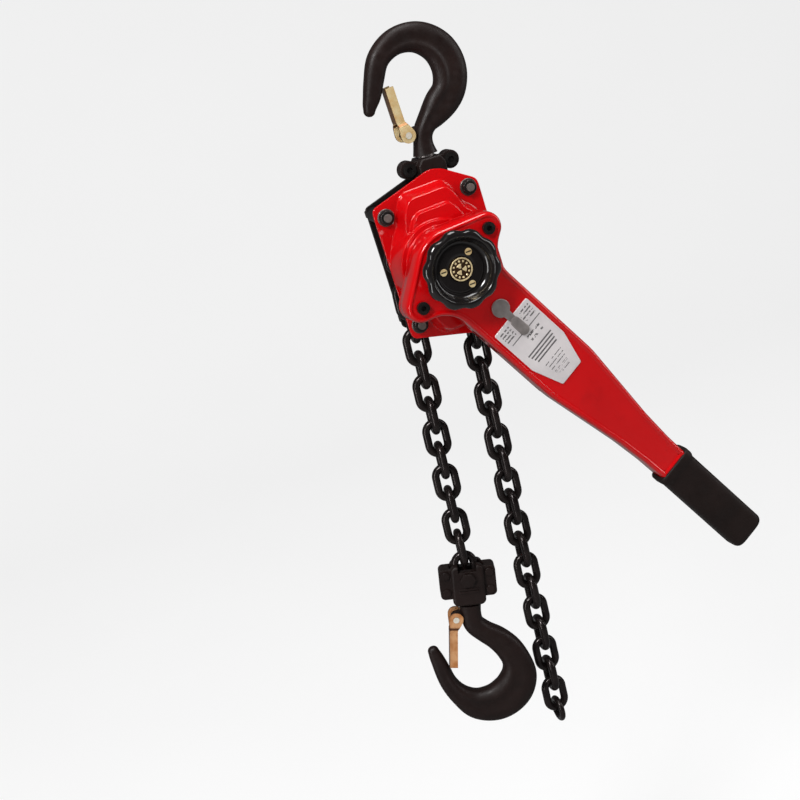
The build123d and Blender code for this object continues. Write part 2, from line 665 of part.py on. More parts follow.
with BuildPart() as hand_wheel:
    with BuildSketch(body_plane(-WHEEL_BACK)):
        add(wheel_outline.sketch)
    extrude(amount=WHEEL_FRONT - WHEEL_BACK)
    fillet(hand_wheel.edges().filter_by(GeomType.LINE, reverse=True).group_by(Axis.Y)[0], WHEEL_EDGE_R)
    with BuildSketch(Plane(origin=(SHAFT_X, 0, SHAFT_Z), x_dir=(1, 0, 0), z_dir=(0, 0, -1))):
        with BuildLine():
            Polyline(
                (0, WHEEL_FRONT + 1),
                (DISH_RIM_R + 0.6, WHEEL_FRONT + 1),
                (DISH_RIM_R, WHEEL_FRONT - 1),
                (DISH_FLOOR_R + 2.5, DISH_FLOOR),
                (CAP_R + 0.2, DISH_FLOOR),
                (CAP_R + 0.2, NUT_BACK),
                (0, NUT_BACK),
                close=True,
            )
        make_face()
    revolve(axis=Axis((SHAFT_X, 0, SHAFT_Z), (0, 1, 0)), mode=Mode.SUBTRACT)
    with BuildSketch(upright_plane(-WHEEL_BACK, SHAFT_X, SHAFT_Z)):
        Circle(THREAD_R)
    extrude(amount=WHEEL_FRONT - WHEEL_BACK, mode=Mode.SUBTRACT)
    with BuildSketch(body_plane(-WHEEL_BACK)):
        with PolarLocations(WHEEL_SCREWS_R, WHEEL_SCREW_COUNT, start_angle=WHEEL_SCREW_PHASE):
            Circle(WHEEL_SCREW_R)
    extrude(amount=WHEEL_FRONT - WHEEL_BACK, mode=Mode.SUBTRACT)
finish("hand_wheel", hand_wheel)

with BuildPart() as hand_wheel_screws:
    with BuildSketch(body_plane(-WHEEL_BACK - 2)):
        with PolarLocations(WHEEL_SCREWS_R, WHEEL_SCREW_COUNT, start_angle=WHEEL_SCREW_PHASE):
            Circle(WHEEL_SCREW_R)
    extrude(amount=DISH_FLOOR - WHEEL_BACK - 2)
    with BuildSketch(body_plane(-DISH_FLOOR)):
        with PolarLocations(WHEEL_SCREWS_R, WHEEL_SCREW_COUNT, start_angle=WHEEL_SCREW_PHASE):
            Circle(WHEEL_SCREW_HEAD_R)
    extrude(amount=WHEEL_SCREW_HEAD)
finish("hand_wheel_screws", hand_wheel_screws)

SHAFT_NUT_HALF = 9.5
SHAFT_NUT = 5.0
with BuildPart() as shaft_nut:
    with BuildSketch(body_plane(-NUT_BACK)):
        RegularPolygon(SHAFT_NUT_HALF, 6, major_radius=False)
        Circle(THREAD_R, mode=Mode.SUBTRACT)
    extrude(amount=SHAFT_NUT)
finish("shaft_nut", shaft_nut)

CAP_THICK = 3.0
CAP_EDGE_R = 1.2
with BuildPart() as wheel_cap:
    with BuildSketch(body_plane(-DISH_FLOOR + 1)):
        Circle(CAP_R)
    extrude(amount=CAP_THICK)
    fillet(wheel_cap.edges().group_by(Axis.Y)[0], CAP_EDGE_R)
    with BuildSketch(body_plane(-DISH_FLOOR + 1)):
        Circle(THREAD_R + 1)
    extrude(amount=CAP_THICK / 2, mode=Mode.SUBTRACT)
finish("wheel_cap", wheel_cap)

# ---------------------------------------------------------------- ratchet lever
LEVER_HEAD_R = 37.0
LEVER_EAR_R = 15.0
LEVER_NECK_R = 34.0
TANG_HALF = 14.5
TANG_START = GRIP_START - 6
TANG_END = LEVER_LENGTH - 2
TANG_CORNER_R = 6.0
TANG_BACK = 58.0
TANG_FRONT = 76.0
SHELL_EDGE_R = 5.0
BACK_PLATE = 2.5
BACK_PLATE_END = 160.0
EAR_POINTS = (LEVER_EAR, (LEVER_EAR[0], -LEVER_EAR[1]))
SELECTOR_S = 62.0
SELECTOR_SHAFT_R = 5.0
EAR_BOSS_R = 6.0
EAR_BOLT_R = 3.0
EAR_HEAD_R = 6.0
EAR_HEAD = 4.0
EAR_SOCKET_HALF = 2.5
EAR_SOCKET = 3.0
EAR_NUT_HALF = 5.0
EAR_NUT = 3.0


def lever_outline(inset):
    """Lever seen from the front: a round head with two ears, and an arm that narrows to the grip.

    The outline is made smaller all round by inset.
    """
    lower_edge = [(along, -half) for along, half in reversed(LEVER_EDGE)]
    with BuildSketch(Plane.XY, mode=Mode.PRIVATE) as arm:
        with BuildLine():
            Polyline(*LEVER_EDGE, *lower_edge, close=True)
        make_face()
        bends = [corner for corner in arm.vertices() if 100 < corner.X < LEVER_EDGE[-1][0] - 1]
        fillet(bends, LEVER_EDGE_BEND_R)
    with BuildSketch(Plane.XY, mode=Mode.PRIVATE) as shape:
        Circle(LEVER_HEAD_R)
        with Locations(*EAR_POINTS):
            Circle(LEVER_EAR_R)
        make_hull()
        add(arm.sketch)
        necks = [corner for corner in shape.vertices() if 20 < corner.X < 60]
        fillet(necks, LEVER_NECK_R)
        if inset:
            offset(amount=-inset)
    return shape.sketch


def tang_outline():
    """Flat end of the lever that the grip is fitted over."""
    with BuildSketch(Plane.XY, mode=Mode.PRIVATE) as shape:
        with Locations(((TANG_START + TANG_END) / 2, 0)):
            RectangleRounded(TANG_END - TANG_START, 2 * TANG_HALF, TANG_CORNER_R)
    return shape.sketch


with BuildPart() as lever_front_shell:
    with BuildSketch(lever_plane(-LEVER_BACK - BACK_PLATE)):
        add(lever_outline(0))
    extrude(amount=LEVER_FRONT - LEVER_BACK - BACK_PLATE)
    fillet(lever_front_shell.faces().sort_by(Axis.Y)[0].edges(), SHELL_EDGE_R)
    with BuildSketch(lever_plane(-LEVER_BACK - BACK_PLATE)):
        add(lever_outline(LEVER_WALL))
    extrude(amount=LEVER_FRONT - LEVER_BACK - BACK_PLATE - LEVER_WALL, mode=Mode.SUBTRACT)
    with BuildSketch(lever_plane(-TANG_BACK)):
        add(tang_outline())
    extrude(amount=TANG_FRONT - TANG_BACK)
    with BuildSketch(lever_plane(-LEVER_BACK - BACK_PLATE)):
        with Locations(*EAR_POINTS):
            Circle(EAR_BOSS_R)
    extrude(amount=LEVER_FRONT - LEVER_BACK - BACK_PLATE - 1)
    with BuildSketch(lever_plane(-LEVER_BACK)):
        with Locations(*EAR_POINTS):
            Circle(EAR_BOLT_R)
        Circle(LEVER_HUB_R + FIT)
        with Locations((SELECTOR_S, 0)):
            Circle(SELECTOR_SHAFT_R + FIT)
    extrude(amount=LEVER_FRONT - LEVER_BACK, mode=Mode.SUBTRACT)
finish("lever_front_shell", lever_front_shell)

with BuildPart() as lever_back_plate:
    with BuildSketch(lever_plane(-LEVER_BACK)):
        add(lever_outline(0))
        with Locations((BACK_PLATE_END + LEVER_LENGTH / 2, 0)):
            Rectangle(LEVER_LENGTH, 100, mode=Mode.SUBTRACT)
        Circle(CHANGE_NECK_R + FIT, mode=Mode.SUBTRACT)
        with Locations(*EAR_POINTS):
            Circle(EAR_BOLT_R, mode=Mode.SUBTRACT)
    extrude(amount=BACK_PLATE)
finish("lever_back_plate", lever_back_plate)

with BuildPart() as lever_bolts:
    with BuildSketch(lever_plane(-LEVER_BACK + EAR_NUT - 1)):
        with Locations(*EAR_POINTS):
            Circle(EAR_BOLT_R)
    extrude(amount=LEVER_FRONT - LEVER_BACK + EAR_NUT)
    with BuildSketch(lever_plane(-LEVER_FRONT)):
        with Locations(*EAR_POINTS):
            Circle(EAR_HEAD_R)
    extrude(amount=EAR_HEAD)
    with BuildSketch(lever_plane(-LEVER_FRONT - EAR_HEAD)):
        with Locations(*EAR_POINTS):
            RegularPolygon(EAR_SOCKET_HALF, 6, major_radius=False)
    extrude(amount=-EAR_SOCKET, mode=Mode.SUBTRACT)
    with BuildSketch(lever_plane(-LEVER_BACK + EAR_NUT)):
        with Locations(*EAR_POINTS):
            RegularPolygon(EAR_NUT_HALF, 6, major_radius=False)
            Circle(EAR_BOLT_R, mode=Mode.SUBTRACT)
    extrude(amount=EAR_NUT)
finish("lever_bolts", lever_bolts)

GRIP_HALF = 20.0
GRIP_BACK = 53.0
GRIP_FRONT = 81.0
GRIP_CORNER_R = 9.0
GRIP_EDGE_R = 7.0
with BuildPart() as lever_grip:
    with BuildSketch(lever_plane(-GRIP_BACK)):
        with Locations(((GRIP_START + 1 + LEVER_LENGTH) / 2, 0)):
            RectangleRounded(LEVER_LENGTH - GRIP_START - 1, 2 * GRIP_HALF, GRIP_CORNER_R)
    extrude(amount=GRIP_FRONT - GRIP_BACK)
    fillet(lever_grip.edges().group_by(Axis.Y)[0] + lever_grip.edges().group_by(Axis.Y)[-1], GRIP_EDGE_R)
    with BuildSketch(lever_plane(-TANG_BACK)):
        add(tang_outline())
    extrude(amount=TANG_FRONT - TANG_BACK, mode=Mode.SUBTRACT)
finish("lever_grip", lever_grip)

RATING_POINTS = mirrored(((76, 24), (129, 24), (163, 14)))
RATING_CORNER_R = 2.0
RATING_THICK = 0.6
with BuildPart() as rating_plate:
    with BuildSketch(lever_plane(-LEVER_FRONT)):
        add(rounded_outline(RATING_POINTS, RATING_CORNER_R))
    extrude(amount=RATING_THICK)
finish("rating_plate", rating_plate)

KNOB_SEAT = LEVER_FRONT + 1.0
KNOB_SHAFT_BACK = 70.0
KNOB_R = 9.0
KNOB_ARM_S = SELECTOR_S + 22
KNOB_ARM = (30.0, 10.0)
KNOB_ARM_CORNER_R = 3.0
KNOB_THICK = 2.5
with BuildPart() as selector_knob:
    with BuildSketch(lever_plane(-KNOB_SHAFT_BACK)):
        with Locations((SELECTOR_S, 0)):
            Circle(SELECTOR_SHAFT_R)
    extrude(amount=KNOB_SEAT - KNOB_SHAFT_BACK)
    with BuildSketch(lever_plane(-KNOB_SEAT)):
        with Locations((SELECTOR_S, 0)):
            Circle(KNOB_R)
        with Locations((KNOB_ARM_S, 0)):
            RectangleRounded(*KNOB_ARM, KNOB_ARM_CORNER_R)
    extrude(amount=KNOB_THICK)
finish("selector_knob", selector_knob)

SELECTOR_BACK = 60.0
SELECTOR_THICK = 8.0
SELECTOR_BOSS_R = 9.5
SELECTOR_POINTS = mirrored(((SELECTOR_S, 9), (SELECTOR_S - 35, 17), (SELECTOR_S - 37.6, 13.7)))
SELECTOR_POINTS.insert(len(SELECTOR_POINTS) // 2, (SELECTOR_S - 22, 0))
with BuildPart() as selector_pawl:
    with BuildSketch(lever_plane(-SELECTOR_BACK)):
        with BuildLine():
            Polyline(*SELECTOR_POINTS, close=True)
        make_face()
        with Locations((SELECTOR_S, 0)):
            Circle(SELECTOR_BOSS_R)
            Circle(SELECTOR_SHAFT_R, mode=Mode.SUBTRACT)
    extrude(amount=SELECTOR_THICK)
finish("selector_pawl", selector_pawl)

PLUNGER_START = 72.0
PLUNGER_LENGTH = 14.0
PLUNGER_R = 3.5
PLUNGER_NOSE_R = 1.5
PLUNGER_TAIL = 4.0
DETENT_SPRING = 20.0


def lever_cross_plane(along):
    """Plane square to the lever, facing its grip, at a distance along the lever from the shaft."""
    base = lever_plane(-SELECTOR_BACK - SELECTOR_THICK / 2)
    return Plane(origin=base.from_local_coords((along, 0)), z_dir=base.x_dir)


with BuildPart() as selector_plunger:
    with BuildSketch(lever_cross_plane(PLUNGER_START)):
        Circle(PLUNGER_R)
    extrude(amount=PLUNGER_LENGTH)
    fillet(selector_plunger.edges().filter_by(GeomType.CIRCLE)[0], PLUNGER_NOSE_R)
    with BuildSketch(lever_cross_plane(PLUNGER_START + PLUNGER_LENGTH)):
        Circle(PLUNGER_NOSE_R)
    extrude(amount=PLUNGER_TAIL)
finish("selector_plunger", selector_plunger)

plunger_seat = lever_cross_plane(PLUNGER_START + PLUNGER_LENGTH + 0.8)
coil_spring("plunger_spring", plunger_seat, radius=2.8, wire_r=0.6, pitch=3.0, length=DETENT_SPRING)

# ---------------------------------------------------------------- top yoke
YOKE_HALF_X = 14.0
YOKE_TOP_HALF_X = 10.0
YOKE_BEVEL = 6.0
YOKE_EDGE_R = 2.0
YOKE_HALF_Y = 15.5
YOKE_GAP = 0.2
YOKE_TOP = -75.0
YOKE_BOTTOM = TOP_PIN_Z - 12
LUG_X = 21.5
LUG_Z = -83.0
LUG_R = 9.0
LUG_HALF_Y = 6.0
LUG_BOLT_R = 4.0
LUG_BAR = 13.0
LUG_HEAD_R = 6.5
LUG_HEAD = 2.5
LUG_SOCKET_HALF = 3.0
LUG_POINTS = ((-LUG_X, LUG_Z), (LUG_X, LUG_Z))
STEM_R = 8.0
STEM_HEAD_R = 11.0
STEM_HEAD_TOP = -88.0
STEM_HEAD_BOTTOM = -95.0
TURN_GAP = 0.3


def top_yoke_half(name, side):
    """One half of the yoke that traps the hook's stem; side is -1 at the front and 1 at the rear."""
    def slab(far):
        return upright_plane(far if side > 0 else -YOKE_GAP, 0, 0)

    with BuildPart() as half:
        with BuildSketch(slab(YOKE_HALF_Y)):
            with BuildLine():
                Polyline(
                    (-YOKE_HALF_X, YOKE_BOTTOM), (-YOKE_HALF_X, YOKE_TOP - YOKE_BEVEL),
                    (-YOKE_TOP_HALF_X, YOKE_TOP), (YOKE_TOP_HALF_X, YOKE_TOP),
                    (YOKE_HALF_X, YOKE_TOP - YOKE_BEVEL), (YOKE_HALF_X, YOKE_BOTTOM), close=True,
                )
            make_face()
        extrude(amount=YOKE_HALF_Y - YOKE_GAP)
        with BuildSketch(slab(LUG_HALF_Y)):
            with Locations(*LUG_POINTS):
                Circle(LUG_R)
            with Locations((0, LUG_Z)):
                Rectangle(2 * LUG_X, LUG_BAR)
        extrude(amount=LUG_HALF_Y - YOKE_GAP)
        outer_edges = half.edges().filter_by(Axis.Y, reverse=True).group_by(Axis.Y)[0 if side < 0 else -1]
        fillet(outer_edges, YOKE_EDGE_R)
        with BuildSketch(upright_plane(YOKE_HALF_Y, 0, 0)):
            with Locations(*LUG_POINTS):
                Circle(LUG_BOLT_R)
            with Locations((TOP_PIN_X, TOP_PIN_Z)):
                Circle(TOP_PIN_R + FIT)
        extrude(amount=2 * YOKE_HALF_Y, mode=Mode.SUBTRACT)
        with BuildSketch(Plane.XY.offset(STEM_HEAD_BOTTOM - TURN_GAP)):
            Circle(STEM_HEAD_R + TURN_GAP)
        extrude(amount=STEM_HEAD_TOP - STEM_HEAD_BOTTOM + 2 * TURN_GAP, mode=Mode.SUBTRACT)
        with BuildSketch(Plane.XY.offset(STEM_HEAD_BOTTOM)):
            Circle(STEM_R + TURN_GAP)
        extrude(amount=YOKE_TOP - STEM_HEAD_BOTTOM + 1, mode=Mode.SUBTRACT)
    finish(name, half)


top_yoke_half("top_yoke_front", -1)
top_yoke_half("top_yoke_rear", 1)

with BuildPart() as top_yoke_bolts:
    with BuildSketch(upright_plane(LUG_HALF_Y, 0, 0)):
        with Locations(*LUG_POINTS):
            Circle(LUG_BOLT_R)
    extrude(amount=2 * LUG_HALF_Y)
    for depth in (-LUG_HALF_Y, LUG_HALF_Y + LUG_HEAD):
        with BuildSketch(upright_plane(depth, 0, 0)):
            with Locations(*LUG_POINTS):
                Circle(LUG_HEAD_R)
        extrude(amount=LUG_HEAD)
    with BuildSketch(upright_plane(-LUG_HALF_Y - LUG_HEAD, 0, 0)):
        with Locations(*LUG_POINTS):
            RegularPolygon(LUG_SOCKET_HALF, 6, major_radius=False)
    extrude(amount=-LUG_HEAD, mode=Mode.SUBTRACT)
finish("top_yoke_bolts", top_yoke_bolts)

with BuildPart() as top_pin:
    with BuildSketch(upright_plane(PLATE_INNER + PLATE, TOP_PIN_X, TOP_PIN_Z)):
        Circle(TOP_PIN_R)
    extrude(amount=2 * (PLATE_INNER + PLATE))
finish("top_pin", top_pin)

# ---------------------------------------------------------------- hooks
BOWL_R = 25.2
BACK_R = 51.8
BACK_OFFSET = 7.6


def hook_station(angle, bowl_r, back_r, offset):
    """Middle point and width of a hook's body at an angle round its bowl."""
    turn = math.radians(angle)
    reach = offset[0] * math.cos(turn) + offset[1] * math.sin(turn)
    side = offset[0] * math.sin(turn) - offset[1] * math.cos(turn)
    outer = reach + math.sqrt(back_r**2 - side**2)
    middle = (bowl_r + outer) / 2
    return (middle * math.cos(turn), middle * math.sin(turn), outer - bowl_r)


def hook_body(base, stations, thicknesses, stem):
    """Loft an oval section along stations of (x, y, width) on the base plane, from the point to the stem."""
    with BuildPart() as body:
        for index, (x, y, width) in enumerate(stations):
            before = stations[max(index - 1, 0)]
            after = stations[min(index + 1, len(stations) - 1)]
            heading = base.x_dir * (after[0] - before[0]) + base.y_dir * (after[1] - before[1])
            if index == len(stations) - 1:
                heading = base.y_dir * stem
            section = Plane(origin=base.from_local_coords((x, y)), x_dir=base.z_dir, z_dir=heading)
            with BuildSketch(section):
                Ellipse(thicknesses[index] / 2, width / 2)
        loft()
    return body.part


NECK_TOP = -74.0
top_offset = (BACK_OFFSET, 0.5)
top_stations = [(-45.4, -18.6, 9), (-41.2, -13.0, 14), (-36.5, -4.5, 18)]
top_thick = [8, 12, 15]
for angle, thick in ((168, 17), (135, 19), (100, 21), (65, 22), (30, 22), (0, 22), (-28, 22)):
    top_stations.append(hook_station(angle, BOWL_R, BACK_R, top_offset))
    top_thick.append(thick)
top_stations += [(22.5, -35.5, 31), (9.5, -43, 26), (1.5, -54, 23), (0, -66, 22), (0, NECK_TOP, 22)]
top_thick += [22, 22, 22, 22, 22]

LATCH_PIN_R = 2.0
LATCH_LUG_R = 5.0
LATCH_LUG_LENGTH = 18.0
LATCH_HOLE_Y = 12.0
TOP_LATCH_PIVOT = (-15.6, -50.2)


def top_latch_plane(depth, angle=0.0):
    """Plane facing the front through the top latch's pivot, with its x axis turned by angle."""
    return turned_plane(depth, angle, *TOP_LATCH_PIVOT)


with BuildPart() as top_hook:
    add(hook_body(upright_plane(0, 0, 0), top_stations, top_thick, -1))
    with BuildSketch(Plane.XY.offset(NECK_TOP)):
        Circle(STEM_R)
    extrude(amount=STEM_HEAD_TOP - NECK_TOP)
    with BuildSketch(Plane.XY.offset(STEM_HEAD_BOTTOM)):
        Circle(STEM_HEAD_R)
    extrude(amount=STEM_HEAD_TOP - STEM_HEAD_BOTTOM)
    with BuildSketch(top_latch_plane(LATCH_LUG_R)):
        Circle(LATCH_LUG_R)
        with Locations((LATCH_LUG_LENGTH / 2, 0)):
            Rectangle(LATCH_LUG_LENGTH, 2 * LATCH_LUG_R)
    extrude(amount=2 * LATCH_LUG_R)
    with BuildSketch(top_latch_plane(LATCH_HOLE_Y)):
        Circle(LATCH_PIN_R)
    extrude(amount=2 * LATCH_HOLE_Y, mode=Mode.SUBTRACT)
finish("top_hook", top_hook)

# ---------------------------------------------------------------- bottom yoke and hook
CHAIN_PIN_R = 5.0
LAST_LINK_Z = LOAD_TOP - (LOAD_LINKS - 1) * CHAIN_PITCH
CHAIN_PIN_X = LOAD_X + (LOAD_LINKS - 1) * LOAD_DRIFT
CHAIN_PIN_Z = LAST_LINK_Z - LINK_INNER_LENGTH / 2 + CHAIN_PIN_R + 0.2
LOW_BLOCK_X = 17.0
LOW_BLOCK_TOP = 15.0
LOW_BLOCK_BOTTOM = -29.0
LOW_BLOCK_Y = 13.5
LOW_BLOCK_CORNER_R = 6.0
LOW_BLOCK_EDGE_R = 3.0
LOW_FOOT = 12.0
SLOT_HALF_Y = 5.2
SLOT_HALF_X = 18.0
SLOT_BOTTOM = -14.5
CROSS_SLOT_X = 9.5
CROSS_SLOT_Y = 14.6
CROSS_SLOT_BOTTOM = 8.0
LOW_LEAN = -7.0             # degrees that the bottom yoke and hook lean on the chain
LOW_TWIST = -16.0           # degrees that they are turned about the vertical with the chain
FLANGE_X = 29.0
FLANGE_Y = 9.0
FLANGE_TOP = 11.5
FLANGE_BOTTOM = -21.0
FLANGE_CORNER_R = 5.0
RIVET_R = 2.5
RIVET_HEAD_R = 4.2
RIVET_HEAD = 1.6
PIN_HEAD_HALF = 7.0
PIN_HEAD = 3.0
RIVETS = ((-22.5, 5), (-22.5, -14), (22.5, 5), (22.5, -14))
LOW_HEAD_TOP = -15.5
LOW_HEAD_BOTTOM = -21.5
LOW_HEAD_R = 10.0


def low_plane(depth):
    """Plane facing the front of the bottom yoke, leaned and twisted with it about the chain pin."""
    lean = math.radians(LOW_LEAN)
    twist = math.radians(LOW_TWIST)
    front = Vector(math.sin(twist), -math.cos(twist), 0)
    across = Vector(math.cos(twist) * math.cos(lean), math.sin(twist) * math.cos(lean), math.sin(lean))
    return Plane(origin=Vector(CHAIN_PIN_X, 0, CHAIN_PIN_Z) - front * depth, x_dir=across, z_dir=front)


def low_stem_plane(along):
    """Plane square to the bottom hook's stem, at a distance up the stem from the chain pin."""
    base = low_plane(0)
    return Plane(origin=base.from_local_coords((0, along)), z_dir=base.y_dir)


def bottom_yoke_half(name, side):
    """One half of the block that joins the load chain to the bottom hook; side is -1 at the front."""
    def slab(near, far):
        return low_plane(far if side > 0 else -near)

    with BuildPart() as half:
        with BuildSketch(slab(YOKE_GAP, FLANGE_Y)):
            with Locations((0, (FLANGE_TOP + FLANGE_BOTTOM) / 2)):
                RectangleRounded(2 * FLANGE_X, FLANGE_TOP - FLANGE_BOTTOM, FLANGE_CORNER_R)
        extrude(amount=FLANGE_Y - YOKE_GAP)
        with BuildSketch(slab(SLOT_HALF_Y, LOW_BLOCK_Y)):
            with Locations((0, (LOW_BLOCK_TOP + LOW_BLOCK_BOTTOM) / 2)):
                RectangleRounded(2 * LOW_BLOCK_X, LOW_BLOCK_TOP - LOW_BLOCK_BOTTOM, LOW_BLOCK_CORNER_R)
        extrude(amount=LOW_BLOCK_Y - SLOT_HALF_Y)
        with BuildSketch(slab(YOKE_GAP, FLANGE_Y)):
            with Locations((0, LOW_BLOCK_BOTTOM + LOW_FOOT / 2)):
                RectangleRounded(2 * LOW_BLOCK_X, LOW_FOOT, FLANGE_CORNER_R)
        extrude(amount=FLANGE_Y - YOKE_GAP)
        outer_face = half.faces().sort_by(Axis((0, 0, 0), low_plane(0).z_dir))[-1 if side < 0 else 0]
        fillet(outer_face.edges(), LOW_BLOCK_EDGE_R)
        with BuildSketch(slab(0, SLOT_HALF_Y)):
            with Locations((0, SLOT_BOTTOM + 30)):
                Rectangle(2 * SLOT_HALF_X, 60)
        extrude(amount=SLOT_HALF_Y, mode=Mode.SUBTRACT)
        with BuildSketch(low_plane(CROSS_SLOT_Y)):
            with Locations((0, CROSS_SLOT_BOTTOM + 20)):
                Rectangle(2 * CROSS_SLOT_X, 40)
        extrude(amount=2 * CROSS_SLOT_Y, mode=Mode.SUBTRACT)
        with BuildSketch(low_plane(LOW_BLOCK_Y)):
            Circle(CHAIN_PIN_R)
            with Locations(*RIVETS):
                Circle(RIVET_R)
        extrude(amount=2 * LOW_BLOCK_Y, mode=Mode.SUBTRACT)
        with BuildSketch(low_stem_plane(LOW_HEAD_BOTTOM - TURN_GAP)):
            Circle(LOW_HEAD_R + TURN_GAP)
        extrude(amount=LOW_HEAD_TOP - LOW_HEAD_BOTTOM + 2 * TURN_GAP, mode=Mode.SUBTRACT)
        with BuildSketch(low_stem_plane(LOW_BLOCK_BOTTOM - 1)):
            Circle(STEM_R + TURN_GAP)
        extrude(amount=LOW_HEAD_BOTTOM - LOW_BLOCK_BOTTOM + 2, mode=Mode.SUBTRACT)
    finish(name, half)


bottom_yoke_half("bottom_yoke_front", -1)
bottom_yoke_half("bottom_yoke_rear", 1)

with BuildPart() as bottom_yoke_rivets:
    with BuildSketch(low_plane(FLANGE_Y)):
        with Locations(*RIVETS):
            Circle(RIVET_R)
    extrude(amount=2 * FLANGE_Y)
    for depth in (-FLANGE_Y, FLANGE_Y + RIVET_HEAD):
        with BuildSketch(low_plane(depth)):
            with Locations(*RIVETS):
                Circle(RIVET_HEAD_R)
        extrude(amount=RIVET_HEAD)
finish("bottom_yoke_rivets", bottom_yoke_rivets)

with BuildPart() as chain_pin:
    with BuildSketch(low_plane(LOW_BLOCK_Y)):
        Circle(CHAIN_PIN_R)
    extrude(amount=2 * LOW_BLOCK_Y)
    for depth in (-LOW_BLOCK_Y, LOW_BLOCK_Y + PIN_HEAD):
        with BuildSketch(low_plane(depth)):
            RegularPolygon(PIN_HEAD_HALF, 6, major_radius=False)
        extrude(amount=PIN_HEAD)
finish("chain_pin", chain_pin)

LOW_BOWL = (1.0, -101.5)
LOW_BOWL_R = 26.3
LOW_BACK_R = 46.7
low_offset = (14.0, -17.5)
low_stations = [(-44.8, 29.5, 9), (-43.0, 24.5, 13), (-39.6, 15.5, 15)]
low_stations += [(-36.3, -1.5, 17), (-31.8, -14.8, 18)]
low_thick = [8, 11, 14, 16, 18]
for angle, thick in ((238, 21), (264, 23), (292, 24), (318, 24), (342, 24), (2, 23)):
    low_stations.append(hook_station(angle, LOW_BOWL_R, LOW_BACK_R, low_offset))
    low_thick.append(thick)
low_stations += [(34.7, 15.5, 28), (23.2, 28.5, 25), (11.2, 37.5, 22)]
low_stations += [(1.0, 48, 21), (-1.0, 60.5, 22), (-1.0, 69, 22)]
low_thick += [22, 22, 22, 22, 22, 22]
low_stations = [(LOW_BOWL[0] + x, LOW_BOWL[1] + y, width) for x, y, width in low_stations]
LOW_STEM = low_stations[-1][1]
LOW_LATCH_PIVOT = (LOW_BOWL[0] - 17.0, LOW_BOWL[1] + 57.5)


def low_latch_plane(depth, angle=0.0):
    """Plane facing the bottom hook's front through its latch's pivot, with its x axis turned by angle."""
    base = low_plane(depth)
    turn = math.radians(angle)
    x_dir = base.x_dir * math.cos(turn) + base.y_dir * math.sin(turn)
    return Plane(origin=base.from_local_coords(LOW_LATCH_PIVOT), x_dir=x_dir, z_dir=base.z_dir)


with BuildPart() as bottom_hook:
    add(hook_body(low_plane(0), low_stations, low_thick, 1))
    with BuildSketch(low_stem_plane(LOW_STEM)):
        Circle(STEM_R)
    extrude(amount=LOW_HEAD_TOP - LOW_STEM)
    with BuildSketch(low_stem_plane(LOW_HEAD_BOTTOM)):
        Circle(LOW_HEAD_R)
    extrude(amount=LOW_HEAD_TOP - LOW_HEAD_BOTTOM)
    with BuildSketch(low_latch_plane(LATCH_LUG_R)):
        Circle(LATCH_LUG_R)
        with Locations((LATCH_LUG_LENGTH / 2, 0)):
            Rectangle(LATCH_LUG_LENGTH, 2 * LATCH_LUG_R)
    extrude(amount=2 * LATCH_LUG_R)
    with BuildSketch(low_latch_plane(LATCH_HOLE_Y)):
        Circle(LATCH_PIN_R)
    extrude(amount=2 * LATCH_HOLE_Y, mode=Mode.SUBTRACT)
finish("bottom_hook", bottom_hook)

# ---------------------------------------------------------------- safety latches
LATCH_HALF_Y = 9.5
LATCH_SHEET = 2.0
LATCH_EAR_R = 7.5
LATCH_PIN_HEAD_R = 3.2
LATCH_PIN_HEAD = 1.2
LATCH_PIN_GAP = 0.3
LATCH_SPRING_SEAT = 6.9


def safety_latch(name, pivot_plane, reach, angle, web_side):
    """Channel-shaped latch from its pivot to the hook's point; web_side is 1 with the web on the left."""
    web_points = ((0, 7), (14, 6), (reach, 4.5))
    open_points = ((reach, -3.5), (16, -2), (5, -5))
    side_points = [(along, across * web_side) for along, across in web_points + open_points]
    with BuildPart() as latch:
        with BuildSketch(pivot_plane(LATCH_HALF_Y, angle)):
            Circle(LATCH_EAR_R)
            with BuildLine():
                Polyline(*side_points, close=True)
            make_face()
        extrude(amount=2 * LATCH_HALF_Y)
        with BuildSketch(pivot_plane(LATCH_HALF_Y - LATCH_SHEET, angle)):
            Circle(LATCH_EAR_R + 3)
            with Locations((reach / 2 + 4, (6 - LATCH_SHEET - 10) * web_side)):
                Rectangle(reach + 20, 20)
            with Locations((0, -2 * web_side)):
                Rectangle(40, 12, mode=Mode.ADD)
        extrude(amount=2 * (LATCH_HALF_Y - LATCH_SHEET), mode=Mode.SUBTRACT)
        with BuildSketch(pivot_plane(LATCH_HOLE_Y)):
            Circle(LATCH_PIN_R + FIT)
        extrude(amount=2 * LATCH_HOLE_Y, mode=Mode.SUBTRACT)
    finish(name, latch)
    with BuildPart() as pin:
        with BuildSketch(pivot_plane(LATCH_HALF_Y + 1)):
            Circle(LATCH_PIN_R)
        extrude(amount=2 * LATCH_HALF_Y + 2)
        for depth in (-LATCH_HALF_Y - LATCH_PIN_GAP, LATCH_HALF_Y + LATCH_PIN_GAP + LATCH_PIN_HEAD):
            with BuildSketch(pivot_plane(depth)):
                Circle(LATCH_PIN_HEAD_R)
            extrude(amount=LATCH_PIN_HEAD)
    finish(name + "_pin", pin)
    spring_seat = pivot_plane(LATCH_SPRING_SEAT)
    coil_spring(name + "_spring", spring_seat, radius=3.3, wire_r=0.5, pitch=1.2, length=1.2)


safety_latch("top_latch", top_latch_plane, 48.5, 97.5, 1)
safety_latch("bottom_latch", low_latch_plane, 52, 263, -1)
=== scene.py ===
"""Looks for the lever chain hoist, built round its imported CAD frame. Metres, +Z up, the front is -Y."""
import json
import math

import bmesh
import bpy
import numpy as np
from mathutils import Matrix, Vector
from mathutils.geometry import delaunay_2d_cdt

